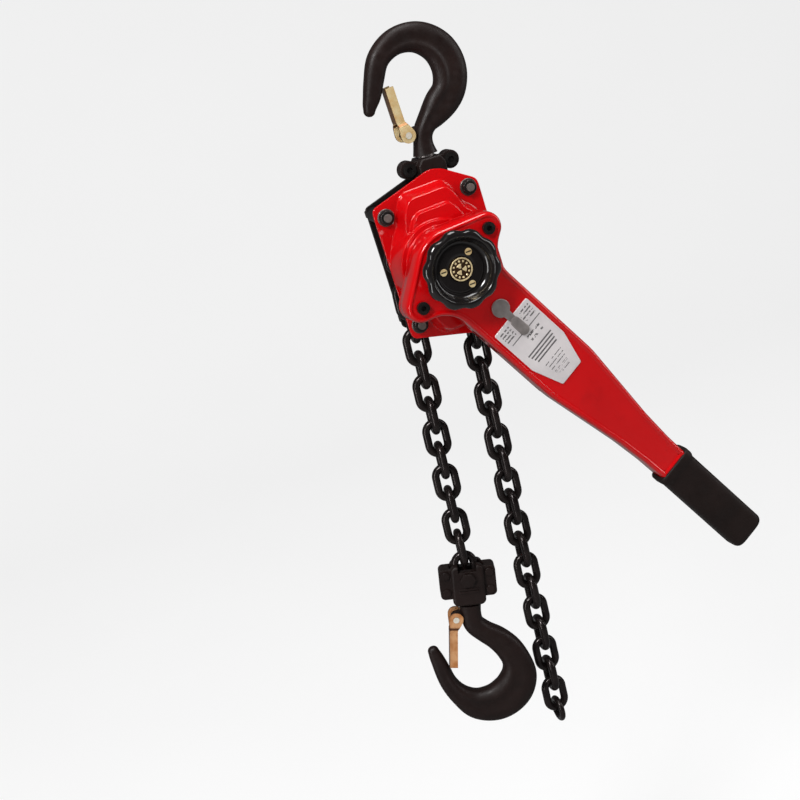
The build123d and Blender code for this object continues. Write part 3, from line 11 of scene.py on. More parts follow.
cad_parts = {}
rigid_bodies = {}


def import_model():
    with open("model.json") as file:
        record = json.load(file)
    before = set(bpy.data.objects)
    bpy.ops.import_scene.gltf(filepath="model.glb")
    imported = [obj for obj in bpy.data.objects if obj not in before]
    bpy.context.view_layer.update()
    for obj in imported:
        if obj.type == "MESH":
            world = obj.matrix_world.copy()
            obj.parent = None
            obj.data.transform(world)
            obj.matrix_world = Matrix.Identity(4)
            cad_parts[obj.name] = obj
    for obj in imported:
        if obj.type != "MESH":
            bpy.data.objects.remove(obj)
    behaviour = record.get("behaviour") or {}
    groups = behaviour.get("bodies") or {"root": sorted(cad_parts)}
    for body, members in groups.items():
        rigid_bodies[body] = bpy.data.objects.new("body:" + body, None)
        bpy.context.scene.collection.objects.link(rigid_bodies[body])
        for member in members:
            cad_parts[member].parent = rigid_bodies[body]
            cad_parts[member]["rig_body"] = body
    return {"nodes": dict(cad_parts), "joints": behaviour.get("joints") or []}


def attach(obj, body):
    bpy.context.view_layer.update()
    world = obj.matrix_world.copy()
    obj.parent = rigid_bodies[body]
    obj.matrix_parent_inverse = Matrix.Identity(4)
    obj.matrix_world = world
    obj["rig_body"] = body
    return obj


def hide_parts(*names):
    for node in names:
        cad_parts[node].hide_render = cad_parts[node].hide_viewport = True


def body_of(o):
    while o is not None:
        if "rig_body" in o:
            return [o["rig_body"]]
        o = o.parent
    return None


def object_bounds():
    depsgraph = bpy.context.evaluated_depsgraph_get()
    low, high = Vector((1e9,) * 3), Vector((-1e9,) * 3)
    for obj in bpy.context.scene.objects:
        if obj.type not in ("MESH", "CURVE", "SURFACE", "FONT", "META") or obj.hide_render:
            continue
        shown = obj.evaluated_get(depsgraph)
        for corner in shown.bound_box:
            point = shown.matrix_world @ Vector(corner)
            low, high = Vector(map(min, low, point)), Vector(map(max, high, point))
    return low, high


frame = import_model()
CAD_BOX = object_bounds()
NODES = frame["nodes"]
JOINTS = {joint["name"]: joint for joint in frame["joints"]}
MM = 0.001

# ---------------------------------------------------------------- places taken from the frame
SHAFT = Vector(JOINTS["sheave_turn"]["pos_m"])


def turn_of(vector):
    """Angle of a vector in the XZ plane, in radians from +X towards +Z."""
    return math.atan2(vector.z, vector.x)


DISC_LINE = Vector(JOINTS["disc_upper_turn"]["pos_m"]) - Vector(JOINTS["disc_lower_turn"]["pos_m"])
BODY_TURN = turn_of(DISC_LINE) - math.pi / 2
SELECTOR = Vector(JOINTS["selector_turn"]["pos_m"])
LEVER_TURN = turn_of(SELECTOR - SHAFT)


class Facing:
    """Local x and y seen from the front, in millimetres; depth is how far a point stands towards the front.

    turn leans the local axes from +X towards +Z, and twist then turns them about the vertical.
    """

    def __init__(self, origin, turn, twist=0.0):
        swing = Matrix.Rotation(twist, 3, "Z")
        self.origin = origin
        self.right = swing @ Vector((math.cos(turn), 0, math.sin(turn)))
        self.up = swing @ Vector((-math.sin(turn), 0, math.cos(turn)))
        self.front = swing @ Vector((0, -1, 0))

    def point(self, x, y, depth):
        return self.origin + (self.right * x + self.up * y + self.front * depth) * MM


BODY = Facing(Vector((SHAFT.x, 0, SHAFT.z)), BODY_TURN)
LEVER = Facing(Vector((SHAFT.x, 0, SHAFT.z)), LEVER_TURN)


# ---------------------------------------------------------------- material tools
class Shader:
    """Small helper that adds nodes to a material and wires them by name."""

    def __init__(self, name):
        self.material = bpy.data.materials.new(name)
        self.material.use_nodes = True
        self.tree = self.material.node_tree
        self.tree.nodes.clear()
        self.output = self.tree.nodes.new("ShaderNodeOutputMaterial")
        self.surface = self.add("BsdfPrincipled")
        self.tree.links.new(self.surface.outputs[0], self.output.inputs[0])
        self.coords = self.add("TexCoord").outputs["Object"]

    def add(self, kind, **inputs):
        node = self.tree.nodes.new("ShaderNode" + kind)
        for key, value in inputs.items():
            self.put(node, key.replace("_", " "), value)
        return node

    def put(self, node, key, value):
        socket = node.inputs[int(key)] if key.isdigit() else node.inputs[key]
        if isinstance(value, bpy.types.NodeSocket):
            self.tree.links.new(value, socket)
        else:
            socket.default_value = value

    def set(self, **inputs):
        for key, value in inputs.items():
            self.put(self.surface, key.replace("_", " "), value)

    def noise(self, scale, detail=4.0, roughness=0.55, vector=None):
        node = self.add("TexNoise", Scale=scale, Detail=detail, Roughness=roughness)
        self.put(node, "Vector", vector or self.coords)
        return node.outputs["Fac"]

    def grey_ramp(self, value, low, high, start=0.3, end=0.7):
        node = self.add("MapRange")
        for index, number in enumerate((start, end, low, high)):
            node.inputs[index + 1].default_value = number
        self.put(node, "Value", value)
        return node.outputs[0]

    def mix(self, factor, first, second):
        node = self.tree.nodes.new("ShaderNodeMix")
        node.data_type = "RGBA"
        for socket, value in ((node.inputs[0], factor), (node.inputs[6], first), (node.inputs[7], second)):
            if isinstance(value, bpy.types.NodeSocket):
                self.tree.links.new(value, socket)
            else:
                socket.default_value = (*value, 1) if isinstance(value, tuple) and len(value) == 3 else value
        return node.outputs[2]

    def math(self, operation, first, second=0.0, clamp=False):
        node = self.add("Math")
        node.operation = operation
        node.use_clamp = clamp
        for index, value in enumerate((first, second)):
            self.put(node, str(index), value)
        return node.outputs[0]

    def bump(self, *layers, edge=0.0):
        """Chain bump layers of (height, strength, distance in metres); edge rounds sharp corners."""
        normal = None
        if edge:
            bevel = self.add("Bevel", Radius=edge)
            bevel.samples = 4
            normal = bevel.outputs[0]
        for height, strength, distance in layers:
            node = self.add("Bump", Height=height, Strength=strength, Distance=distance)
            if normal:
                self.put(node, "Normal", normal)
            normal = node.outputs[0]
        self.set(Normal=normal)

    def edge_wear(self, spread=0.0012):
        """1 on outer edges and 0 on flat areas, broken up by noise."""
        bevel = self.add("Bevel", Radius=spread)
        bevel.samples = 4
        geometry = self.add("NewGeometry")
        dot = self.add("VectorMath")
        dot.operation = "DOT_PRODUCT"
        self.put(dot, "0", bevel.outputs[0])
        self.put(dot, "1", geometry.outputs["Normal"])
        away = self.math("SUBTRACT", 1.0, dot.outputs["Value"])
        rough = self.grey_ramp(self.noise(260, 6), 0.0, 1.0, 0.42, 0.62)
        return self.math("MULTIPLY", self.math("MULTIPLY", away, 6.0, clamp=True), rough, clamp=True)


def enamel(name, colour, dark, coat_rough=0.03, edge=0.0):
    """Glossy paint: a coloured base under a clear coat, with faint orange peel and dust."""
    shader = Shader(name)
    cloud = shader.grey_ramp(shader.noise(9, 3), 0.0, 1.0, 0.3, 0.75)
    grime = shader.grey_ramp(shader.noise(38, 6, 0.65), 0.0, 0.35, 0.55, 0.8)
    colour_out = shader.mix(grime, shader.mix(cloud, colour, dark), tuple(part * 0.35 for part in colour))
    shader.set(Base_Color=colour_out)
    shader.set(Roughness=shader.grey_ramp(shader.noise(60, 5), 0.30, 0.42))
    shader.set(Specular_IOR_Level=0.07, Coat_Weight=1.0, Coat_IOR=1.5)
    shader.set(Coat_Roughness=shader.grey_ramp(shader.noise(140, 6), coat_rough, coat_rough + 0.05))
    shader.bump((shader.noise(70, 2), 0.08, 0.0006), (shader.noise(800, 2), 0.03, 0.0001), edge=edge)
    return shader.material


def forging(name, colour, worn, rough=0.5, grain=0.35, edge=0.0):
    """Painted or oiled forging: cloudy colour, fine pitted grain and a little wear on its edges."""
    shader = Shader(name)
    cloud = shader.grey_ramp(shader.noise(35, 5), 0.0, 1.0, 0.35, 0.7)
    base = shader.mix(cloud, colour, tuple(part * 1.6 for part in colour))
    wear = shader.grey_ramp(shader.noise(210, 8, 0.7), 0.0, 0.4, 0.6, 0.75)
    if edge:
        wear = shader.math("MULTIPLY", shader.edge_wear(), 0.5)
    shader.set(Base_Color=shader.mix(wear, base, worn))
    shader.set(Roughness=shader.grey_ramp(shader.noise(180, 6), rough - 0.08, rough + 0.12))
    shader.set(Specular_IOR_Level=0.24)
    fine = shader.noise(1300, 4, 0.6)
    pits = shader.noise(420, 3, 0.5)
    shader.bump((shader.noise(60, 3), 0.2, 0.001), (pits, grain, 0.0003), (fine, grain, 0.00012), edge=edge)
    return shader.material


def metal(name, colour, dark, rough=0.32, brushed=0.15, edge=0.0, metallic=1.0):
    """Bare, plated or blackened steel and brass, with a cloudy finish and fine marks."""
    shader = Shader(name)
    cloud = shader.grey_ramp(shader.noise(90, 5), 0.0, 1.0, 0.35, 0.7)
    shader.set(Base_Color=shader.mix(cloud, colour, dark), Metallic=metallic)
    shader.set(Roughness=shader.grey_ramp(shader.noise(420, 5), rough - 0.06, rough + 0.1))
    shader.bump((shader.noise(700, 4), brushed, 0.0001), (shader.noise(160, 3), brushed, 0.0002), edge=edge)
    return shader.material


def plated(name, colour, dark, side):
    """Yellow zinc plate with painted shade: bright on its broad faces, painted darker where a face turns away
    from the front.
    """
    shader = Shader(name)
    cloud = shader.grey_ramp(shader.noise(110, 2), 0.0, 1.0, 0.38, 0.68)
    normal = shader.add("SeparateXYZ", Vector=shader.add("NewGeometry").outputs["Normal"])
    # painted shade: the side colour takes over as a face turns away from the front
    facing = shader.grey_ramp(shader.math("ABSOLUTE", normal.outputs["Y"]), 0.0, 1.0, 0.8, 0.97)
    shader.set(Base_Color=shader.mix(facing, side, shader.mix(cloud, colour, dark)), Metallic=0.6)
    shader.set(Roughness=shader.grey_ramp(shader.noise(90, 2), 0.16, 0.28))
    shader.bump((shader.noise(60, 2), 0.05, 0.0002))
    return shader.material


def relief_brass(name, colour, recess, floor):
    """Struck brass disc: bright where its relief stands above its floor's depth, with painted shade in its
    recesses.
    """
    shader = Shader(name)
    depth = shader.math("MULTIPLY", shader.add("SeparateXYZ", Vector=shader.coords).outputs["Y"], -1 / MM)
    raised = shader.grey_ramp(shader.math("SUBTRACT", depth, floor), 0.0, 1.0, 0.1, 0.5)
    cloud = shader.grey_ramp(shader.noise(220, 2), 0.7, 1.0)
    # painted shade: the recess colour fills whatever lies below the relief
    shader.set(Base_Color=shader.mix(shader.math("MULTIPLY", raised, cloud), recess, colour), Metallic=0.6)
    shader.set(Roughness=shader.grey_ramp(shader.noise(90, 2), 0.2, 0.32))
    return shader.material


def stay_steel(name, colour, dark, outside):
    """Grey steel where it stands out past the covers, and painted shade between them."""
    shader = Shader(name)
    depth = shader.math("ABSOLUTE", shader.add("SeparateXYZ", Vector=shader.coords).outputs["Y"])
    cloud = shader.grey_ramp(shader.noise(200, 3), 0.6, 1.0)
    # painted shade: the steel is coloured near black where it lies between the covers
    shown = shader.math("MULTIPLY", shader.math("GREATER_THAN", depth, outside * MM), cloud)
    shader.set(Base_Color=shader.mix(shown, dark, colour), Metallic=0.5)
    shader.set(Roughness=shader.grey_ramp(shader.noise(300, 3), 0.32, 0.46))
    shader.bump((shader.noise(400, 3), 0.08, 0.0001), edge=0.0006)
    return shader.material


def label(name):
    """Silver plate printed with generic bars and a frame line. Its own x runs along the lever, in metres."""
    shader = Shader(name)
    split = shader.add("SeparateXYZ", Vector=shader.coords)
    along, across = split.outputs["X"], split.outputs["Y"]

    def band(value, start, end):
        above = shader.math("GREATER_THAN", value, start * MM)
        return shader.math("MULTIPLY", above, shader.math("LESS_THAN", value, end * MM))

    marks = None
    for start, end, low, high, pitch in LABEL_BARS:
        inside = shader.math("MULTIPLY", band(along, start, end), band(across, low, high))
        if pitch:
            wave = shader.math("FRACT", shader.math("MULTIPLY", along, 1000 / pitch))
            dashes = shader.math("GREATER_THAN", wave, 0.55)
            broken = shader.math("GREATER_THAN", shader.noise(480, 1), 0.47)
            inside = shader.math("MULTIPLY", inside, shader.math("MULTIPLY", dashes, broken))
        marks = inside if marks is None else shader.math("MAXIMUM", marks, inside)
    cloud = shader.grey_ramp(shader.noise(40, 4), 0.0, 1.0, 0.3, 0.7)
    base = shader.mix(cloud, (0.78, 0.73, 0.73), (0.62, 0.58, 0.59))
    print_share = shader.math("MULTIPLY", marks, 0.85)
    shader.set(Base_Color=shader.mix(print_share, base, (0.03, 0.028, 0.03)), Metallic=0.35)
    shader.set(Roughness=shader.grey_ramp(shader.noise(160, 4), 0.28, 0.42))
    shader.set(Coat_Weight=0.4, Coat_Roughness=0.1)
    shader.bump((shader.noise(240, 3), 0.06, 0.0002))
    return shader.material


# bars printed on the label, in mm: from and to along it, from and to across it, and the breaks' pitch
LABEL_BARS = [(80, 92, 6.5, 21, 3.4), (80, 92, -20.5, -8, 3.4), (96, 97, -19, 22, 0)]
LABEL_BARS += [(101, 111, -4, 14, 5.2)]
LABEL_BARS += [(116 + 3.6 * row, 117.6 + 3.6 * row, -17 + row, 17 - row, 0) for row in range(4)]
LABEL_BARS += [(135 + 4.2 * row, 137 + 4.2 * row, -13 + row, 12 - 1.5 * row, 1.9) for row in range(5)]

# depth of the floor of the wheel cap's relief
CAP_FLOOR = 99.2

MATERIALS = {
    "red": enamel("red_enamel", (0.46, 0.0006, 0.0020), (0.37, 0.0004, 0.0015)),
    "red_plate": enamel("red_enamel_plate", (0.46, 0.0006, 0.0020), (0.37, 0.0004, 0.0015), edge=0.0008),
    "forging": forging("black_forging", (0.0078, 0.0038, 0.0032), (0.018, 0.010, 0.009), 0.46, 0.3),
    "yoke": forging("black_yoke", (0.0078, 0.0040, 0.0034), (0.026, 0.018, 0.016), 0.44, 0.25, edge=0.0012),
    "plate": forging("black_plate", (0.0055, 0.0035, 0.0032), (0.02, 0.015, 0.014), 0.4, 0.15, edge=0.0006),
    "chain": metal("chain_black", (0.011, 0.008, 0.008), (0.024, 0.018, 0.017), 0.22, 0.12, metallic=0.6),
    "fastener": metal("dark_fastener", (0.022, 0.020, 0.019), (0.045, 0.04, 0.038), 0.3, 0.1, metallic=0.8),
    "washer": metal("washer_grey", (0.10, 0.085, 0.08), (0.06, 0.05, 0.046), 0.34, 0.1, metallic=0.6),
    # the stud steel's near-black second colour is painted shade between the covers
    "stud": stay_steel("stud_grey", (0.20, 0.17, 0.155), (0.008, 0.006, 0.006), 21.5),
    "zinc": metal("zinc_steel", (0.30, 0.27, 0.26), (0.19, 0.165, 0.16), 0.38, 0.06, metallic=0.6),
    "spring": metal("spring_steel", (0.4, 0.4, 0.41), (0.28, 0.28, 0.29), 0.3, 0.1),
    "gear": metal("gear_steel", (0.38, 0.36, 0.34), (0.22, 0.2, 0.18), 0.35, 0.2, edge=0.0003),
    # the bright pin's last colour is painted shade on faces turned away from the front
    "bright": plated("bright_pin", (1.0, 0.95, 0.84), (0.86, 0.80, 0.64), (0.30, 0.24, 0.15)),
    # the cap's dark second colour is painted shade in the relief's recesses
    "cap": relief_brass("cap_brass", (1.0, 0.80, 0.46), (0.05, 0.025, 0.012), CAP_FLOOR),
    # the last colour of the brass and the copper is painted shade on faces turned away from the front
    "brass": plated("brass_zinc", (1.0, 0.82, 0.46), (0.86, 0.56, 0.24), (0.16, 0.07, 0.02)),
    "copper": plated("amber_zinc", (0.86, 0.46, 0.22), (0.60, 0.24, 0.08), (0.14, 0.05, 0.02)),
    "bronze": metal("bronze", (0.55, 0.36, 0.16), (0.4, 0.25, 0.1), 0.4, 0.2),
    "wheel": enamel("wheel_black", (0.0045, 0.0038, 0.0038), (0.0075, 0.006, 0.006), 0.05),
    "rubber": forging("grip_rubber", (0.0068, 0.0034, 0.0028), (0.014, 0.008, 0.007), 0.55, 0.5),
    "lining": forging("brake_lining", (0.10, 0.07, 0.05), (0.2, 0.15, 0.1), 0.8, 0.5),
    "label": label("plate_label"),
}

NODE_MATERIALS = {
    "red_plate": ("gear_cover", "lever_back_plate"),
    "yoke": (
        "top_yoke_front", "top_yoke_rear", "bottom_yoke_front", "bottom_yoke_rear", "bottom_yoke_rivets",
        "chain_pin",
    ),
    "plate": ("side_plate_front", "side_plate_rear", "chain_stripper"),
    "chain": ("load_chain", "tail_chain", "sheave_chain", "tail_stop_ring", "load_sheave"),
    "fastener": ("top_yoke_bolts", "lever_bolts", "shaft_nut", "top_pin", "pawl_pins", "guide_pin"),
    "stud": ("cover_studs", "frame_stays"),
    "zinc": ("guide_roller", "selector_plunger"),
    "spring": (
        "pawl_spring_upper", "pawl_spring_lower", "plunger_spring", "top_latch_spring", "bottom_latch_spring",
        "gear_snap_ring",
    ),
    "gear": (
        "pinion_shaft", "friction_hub", "change_gear", "disc_gear_upper", "disc_gear_lower", "load_gear",
        "ratchet_disc", "pawl_upper", "pawl_lower", "selector_pawl",
    ),
    "brass": ("hand_wheel_screws",),
    "bright": ("top_latch_pin", "bottom_latch_pin"),
    "bronze": ("sheave_bushes", "disc_gear_bushes"),
    "lining": ("friction_discs",),
}
for key, names in NODE_MATERIALS.items():
    for node_name in names:
        mesh = NODES[node_name].data
        mesh.materials.clear()
        mesh.materials.append(MATERIALS[key])

# ---------------------------------------------------------------- mesh tools
def smooth_step(value, start, end):
    """0 before start, 1 after end, and a smooth turn between them."""
    part = np.clip((np.asarray(value, float) - start) / (end - start), 0, 1)
    return part * part * (3 - 2 * part)


def place(facing, points):
    """Local (x, y, depth) rows in millimetres as row-frame points in metres."""
    points = np.asarray(points, float)
    axes = np.array((facing.right, facing.up, facing.front))
    return np.array(facing.origin) + points @ axes * MM


def grid_faces(rows, columns, start=0, close=True, flip=False):
    """Quads between successive rows of points; close joins each row's end to its start."""
    faces = []
    for row in range(rows - 1):
        for column in range(columns if close else columns - 1):
            after = (column + 1) % columns
            face = (
                start + row * columns + column, start + row * columns + after,
                start + (row + 1) * columns + after, start + (row + 1) * columns + column,
            )
            faces.append(face[::-1] if flip else face)
    return faces


class Piece:
    """Collects rows of points into one mesh, then makes an object that rides on a body."""

    def __init__(self, name, body, material, replaces=(), slot=None):
        self.name, self.body, self.material = name, body, material
        self.replaced, self.slot = replaces, slot
        self.points, self.faces = [], []

    def add(self, points, faces):
        start = sum(len(block) for block in self.points)
        self.points.append(np.asarray(points, float))
        self.faces += [tuple(start + index for index in face) for face in faces]

    def pierced_face(self, facing, loop, depth, holes, wall, columns=48):
        """Flat face inside a loop, with round holes of (x, y, radius) through a wall of that thickness."""
        loops = [loop]
        angles = np.linspace(0, 2 * math.pi, columns, endpoint=False)
        for x, y, radius in holes:
            loops.append(np.column_stack((x + radius * np.cos(angles), y + radius * np.sin(angles))))
            rim = np.column_stack((loops[-1], np.full(columns, depth)))
            self.skin(facing, [rim, rim - (0, 0, wall)])
        edges = []
        for points in loops:
            first, count = len(edges), len(points)
            edges += [(first + index, first + (index + 1) % count) for index in range(count)]
        outline = [Vector(point) for point in np.vstack(loops)]
        corners, _, triangles, *_ = delaunay_2d_cdt(outline, edges, [], 1, 1e-6)
        corners = np.array([tuple(corner) for corner in corners])
        middles = np.array([corners[list(triangle)].mean(axis=0) for triangle in triangles])
        solid = np.ones(len(triangles), bool)
        for x, y, radius in holes:
            solid &= np.hypot(middles[:, 0] - x, middles[:, 1] - y) > radius * math.cos(math.pi / columns)
        flat = np.column_stack((corners, np.full(len(corners), depth)))
        self.add(place(facing, flat), [tuple(triangles[index]) for index in np.flatnonzero(solid)])

    def skin(self, facing, rows, close=True, cap_start=False, cap_end=False):
        """Skin over rows of (x, y, depth) points that all have the same length."""
        rows = np.asarray(rows, float)
        count, columns = rows.shape[:2]
        faces = grid_faces(count, columns, close=close)
        if cap_start:
            faces.append(tuple(range(columns))[::-1])
        if cap_end:
            faces.append(tuple((count - 1) * columns + index for index in range(columns)))
        self.add(place(facing, rows.reshape(-1, 3)), faces)

    def make(self, sharp=35.0, axes=None):
        """Mesh object with smooth faces and sharp corners; axes gives it an origin and axes of its own."""
        mesh = bpy.data.meshes.new(self.name)
        mesh.from_pydata(np.vstack(self.points).tolist(), [], self.faces)
        work = bmesh.new()
        work.from_mesh(mesh)
        bmesh.ops.remove_doubles(work, verts=work.verts, dist=1e-6)
        bmesh.ops.recalc_face_normals(work, faces=work.faces)
        work.to_mesh(mesh)
        work.free()
        mesh.materials.append(MATERIALS[self.material])
        mesh.shade_smooth()
        mesh.set_sharp_from_angle(angle=math.radians(sharp))
        piece = bpy.data.objects.new(self.name, mesh)
        bpy.context.scene.collection.objects.link(piece)
        if axes:
            turn = Matrix((axes.right, axes.up, axes.front)).transposed().to_4x4()
            piece.matrix_world = Matrix.Translation(axes.origin) @ turn
            mesh.transform(piece.matrix_world.inverted())
        for node_name in self.replaced:
            same_body = body_of(NODES[node_name]) == [self.body]
            assert same_body, f"{self.name} and {node_name} ride different bodies"
        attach(piece, self.body)
        if self.replaced:
            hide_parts(*self.replaced)
        return piece


def lathe_rows(profile, columns=96, lobes=None, centre=(0, 0)):
    """Rows round an axis for a profile of (radius, depth, lobe share)."""
    angles = np.linspace(0, 2 * math.pi, columns, endpoint=False)
    wave = lobes(angles) if lobes else np.zeros(columns)
    rows = []
    for radius, depth, *share in profile:
        reach = radius + (share[0] if share else 0) * wave
        rows.append(np.column_stack((
            centre[0] + reach * np.cos(angles), centre[1] + reach * np.sin(angles), np.full(columns, depth)
        )))
    return rows


def rounded(profile, radius, steps=5):
    """Profile of (radius, depth) corners with every inner corner rounded."""
    out = [profile[0]]
    for before, corner, after in zip(profile, profile[1:], profile[2:]):
        corner_v, before_v, after_v = (np.array(point[:2], float) for point in (corner, before, after))
        size = radius if len(corner) < 3 else corner[2]
        to_before, to_after = before_v - corner_v, after_v - corner_v
        reach = min(size, np.linalg.norm(to_before) * 0.48, np.linalg.norm(to_after) * 0.48)
        first = corner_v + to_before / np.linalg.norm(to_before) * reach
        last = corner_v + to_after / np.linalg.norm(to_after) * reach
        for step in range(steps + 1):
            part = step / steps
            point = (1 - part) ** 2 * first + 2 * part * (1 - part) * corner_v + part**2 * last
            out.append(tuple(point))
    out.append(profile[-1])
    return [point[:2] for point in out]


SPLINE_SMOOTHING = 60


def spline(stations, count):
    """Smooth rows through the stations, spaced evenly along the first two columns."""
    stations = np.asarray(stations, float)
    chord = np.concatenate(([0], np.cumsum(np.linalg.norm(np.diff(stations[:, :2], axis=0), axis=1))))
    slopes = np.gradient(stations, chord, axis=0)
    dense = np.linspace(0, chord[-1], 40 * len(stations))
    index = np.clip(np.searchsorted(chord, dense, side="right") - 1, 0, len(chord) - 2)
    size = (chord[index + 1] - chord[index])[:, None]
    part = (dense - chord[index])[:, None] / size
    rows = (2 * part**3 - 3 * part**2 + 1) * stations[index]
    rows += (3 * part**2 - 2 * part**3) * stations[index + 1]
    rows += size * (part**3 - 2 * part**2 + part) * slopes[index]
    rows += size * (part**3 - part**2) * slopes[index + 1]
    for _ in range(SPLINE_SMOOTHING):
        rows[1:-1] = 0.25 * rows[:-2] + 0.5 * rows[1:-1] + 0.25 * rows[2:]
    length = np.concatenate(([0], np.cumsum(np.linalg.norm(np.diff(rows[:, :2], axis=0), axis=1))))
    even = np.linspace(0, length[-1], count)
    return np.column_stack([np.interp(even, length, rows[:, column]) for column in range(rows.shape[1])])


def loop_of(node_name, depth):
    """Outer outline of a CAD node's flat face at a depth, as row-frame XZ points in millimetres."""
    mesh = NODES[node_name].data
    ends = {}
    for face in mesh.polygons:
        corners = [mesh.vertices[index].co / MM for index in face.vertices]
        if any(abs(-corner.y - depth) > 0.02 for corner in corners):
            continue
        keys = [(round(corner.x, 3), round(corner.z, 3)) for corner in corners]
        for start, end in zip(keys, keys[1:] + keys[:1]):
            if (end, start) in ends:
                del ends[(end, start)]
            else:
                ends[(start, end)] = True
    following = {}
    for start, end in ends:
        following[start] = end
    loops = []
    while following:
        start = next(iter(following))
        loop = [start]
        while loop[-1] in following:
            loop.append(following.pop(loop[-1]))
        loops.append(np.array(loop[:-1]))
    return max(loops, key=lambda loop: abs(loop_area(loop)))


def loop_area(loop):
    """Area inside a closed loop, positive when it runs counter-clockwise."""
    x, z = loop[:, 0], loop[:, 1]
    return 0.5 * np.sum(x * np.roll(z, -1) - z * np.roll(x, -1))


def even_loop(loop, spacing):
    """Closed loop resampled at even spacing, counter-clockwise."""
    if loop_area(loop) < 0:
        loop = loop[::-1]
    closed = np.vstack((loop, loop[:1]))
    length = np.concatenate(([0], np.cumsum(np.linalg.norm(np.diff(closed, axis=0), axis=1))))
    even = np.linspace(0, length[-1], int(length[-1] / spacing), endpoint=False)
    return np.column_stack([np.interp(even, length, closed[:, column]) for column in range(2)])


def loop_normals(loop):
    """Outward normals of a counter-clockwise loop, smoothed a little."""
    along = np.roll(loop, -1, axis=0) - np.roll(loop, 1, axis=0)
    normals = np.column_stack((along[:, 1], -along[:, 0]))
    normals /= np.linalg.norm(normals, axis=1)[:, None]
    for _ in range(3):
        normals = normals + 0.5 * (np.roll(normals, 1, axis=0) + np.roll(normals, -1, axis=0))
        normals /= np.linalg.norm(normals, axis=1)[:, None]
    return normals


def to_local(facing, loop):
    """Row-frame XZ points in millimetres as local x and y."""
    delta = loop - np.array((facing.origin.x, facing.origin.z)) / MM
    right, up = (np.array((axis.x, axis.z)) for axis in (facing.right, facing.up))
    return np.column_stack((delta @ right, delta @ up))


# ---------------------------------------------------------------- hooks
HOOK_COLUMNS = 56
HOOK_ROWS = 150
SQUARENESS = 2.5


def hook_station(angle, bowl_r, back_r, offset):
    """Middle point and width of a hook's body at an angle round its bowl."""
    turn = math.radians(angle)
    reach = offset[0] * math.cos(turn) + offset[1] * math.sin(turn)
    side = offset[0] * math.sin(turn) - offset[1] * math.cos(turn)
    outer = reach + math.sqrt(back_r**2 - side**2)
    middle = (bowl_r + outer) / 2
    return middle * math.cos(turn), middle * math.sin(turn), outer - bowl_r


def hook_piece(name, body, facing, stations, outward, replaced):
    """Forged hook swept along stations of (x, y, width, thickness, bead share), from point to shank."""
    rows = spline(stations, HOOK_ROWS)
    heading = np.gradient(rows[:, :2], axis=0)
    heading /= np.linalg.norm(heading, axis=1)[:, None]
    normals = outward * np.column_stack((-heading[:, 1], heading[:, 0]))
    angles = np.linspace(0, 2 * math.pi, HOOK_COLUMNS, endpoint=False)
    across = np.sign(np.cos(angles)) * np.abs(np.cos(angles)) ** (2 / SQUARENESS)
    thick = np.sign(np.sin(angles)) * np.abs(np.sin(angles)) ** (2 / SQUARENESS)
    from_inner = (across + 1) / 2
    groove = smooth_step(from_inner, 0.25, 0.42) * (1 - 0.45 * smooth_step(from_inner, 0.5, 0.75))
    tip = 14
    skin = []
    for index in range(-tip, HOOK_ROWS):
        row = max(index, 0)
        x, y, width, thickness, bead = rows[row]
        scale, push = 1.0, 0.0
        if index < 0:
            part = -index / tip
            scale = math.sqrt(max(1 - part**2, 0)) * 0.999 + 0.001
            push = part * width / 2
        spread = (width / 2 * across * scale)[:, None] * normals[row]
        depth = thickness / 2 * thick * (1 - 0.24 * bead * groove) * scale
        centre = np.array((x, y)) - heading[row] * push
        skin.append(np.column_stack((centre + spread, depth)))
    piece = Piece(name, body, "forging", replaced, "black_forging")
    piece.skin(facing, skin, cap_start=True, cap_end=True)
    return piece


def stem_rows(start, end, radius, columns=40):
    """Rows of a round stem along local y."""
    angles = np.linspace(0, 2 * math.pi, columns, endpoint=False)
    x, depth = radius * np.cos(angles), radius * np.sin(angles)
    return [np.column_stack((x, np.full(columns, y), depth)) for y in (start, end)]


def lug(piece, facing, first, second, first_r, second_r, half, bevel=1.0):
    """Flat lug round two points, with rounded edges, centred on the facing's plane."""
    (x0, y0), (x1, y1) = first, second
    gap = math.hypot(x1 - x0, y1 - y0)
    base = math.atan2(y1 - y0, x1 - x0)
    lean = math.acos(max(-1, min(1, (first_r - second_r) / gap))) if gap else math.pi / 2
    loop = []
    for x, y, radius, start, end in (
        (x0, y0, first_r, base + lean, base + 2 * math.pi - lean),
        (x1, y1, second_r, base - lean, base + lean),
    ):
        for turn in np.linspace(start, end, 24):
            loop.append((x + radius * math.cos(turn), y + radius * math.sin(turn)))
    even = even_loop(np.array(loop), 0.35)
    normals = loop_normals(even)
    rows = []
    for inset, depth in ((bevel, -half), (0.3 * bevel, -half + 0.3 * bevel), (0, -half + bevel),
                         (0, half - bevel), (0.3 * bevel, half - 0.3 * bevel), (bevel, half)):
        rows.append(np.column_stack((even - normals * inset, np.full(len(even), depth))))
    piece.skin(facing, rows, cap_start=True, cap_end=True)


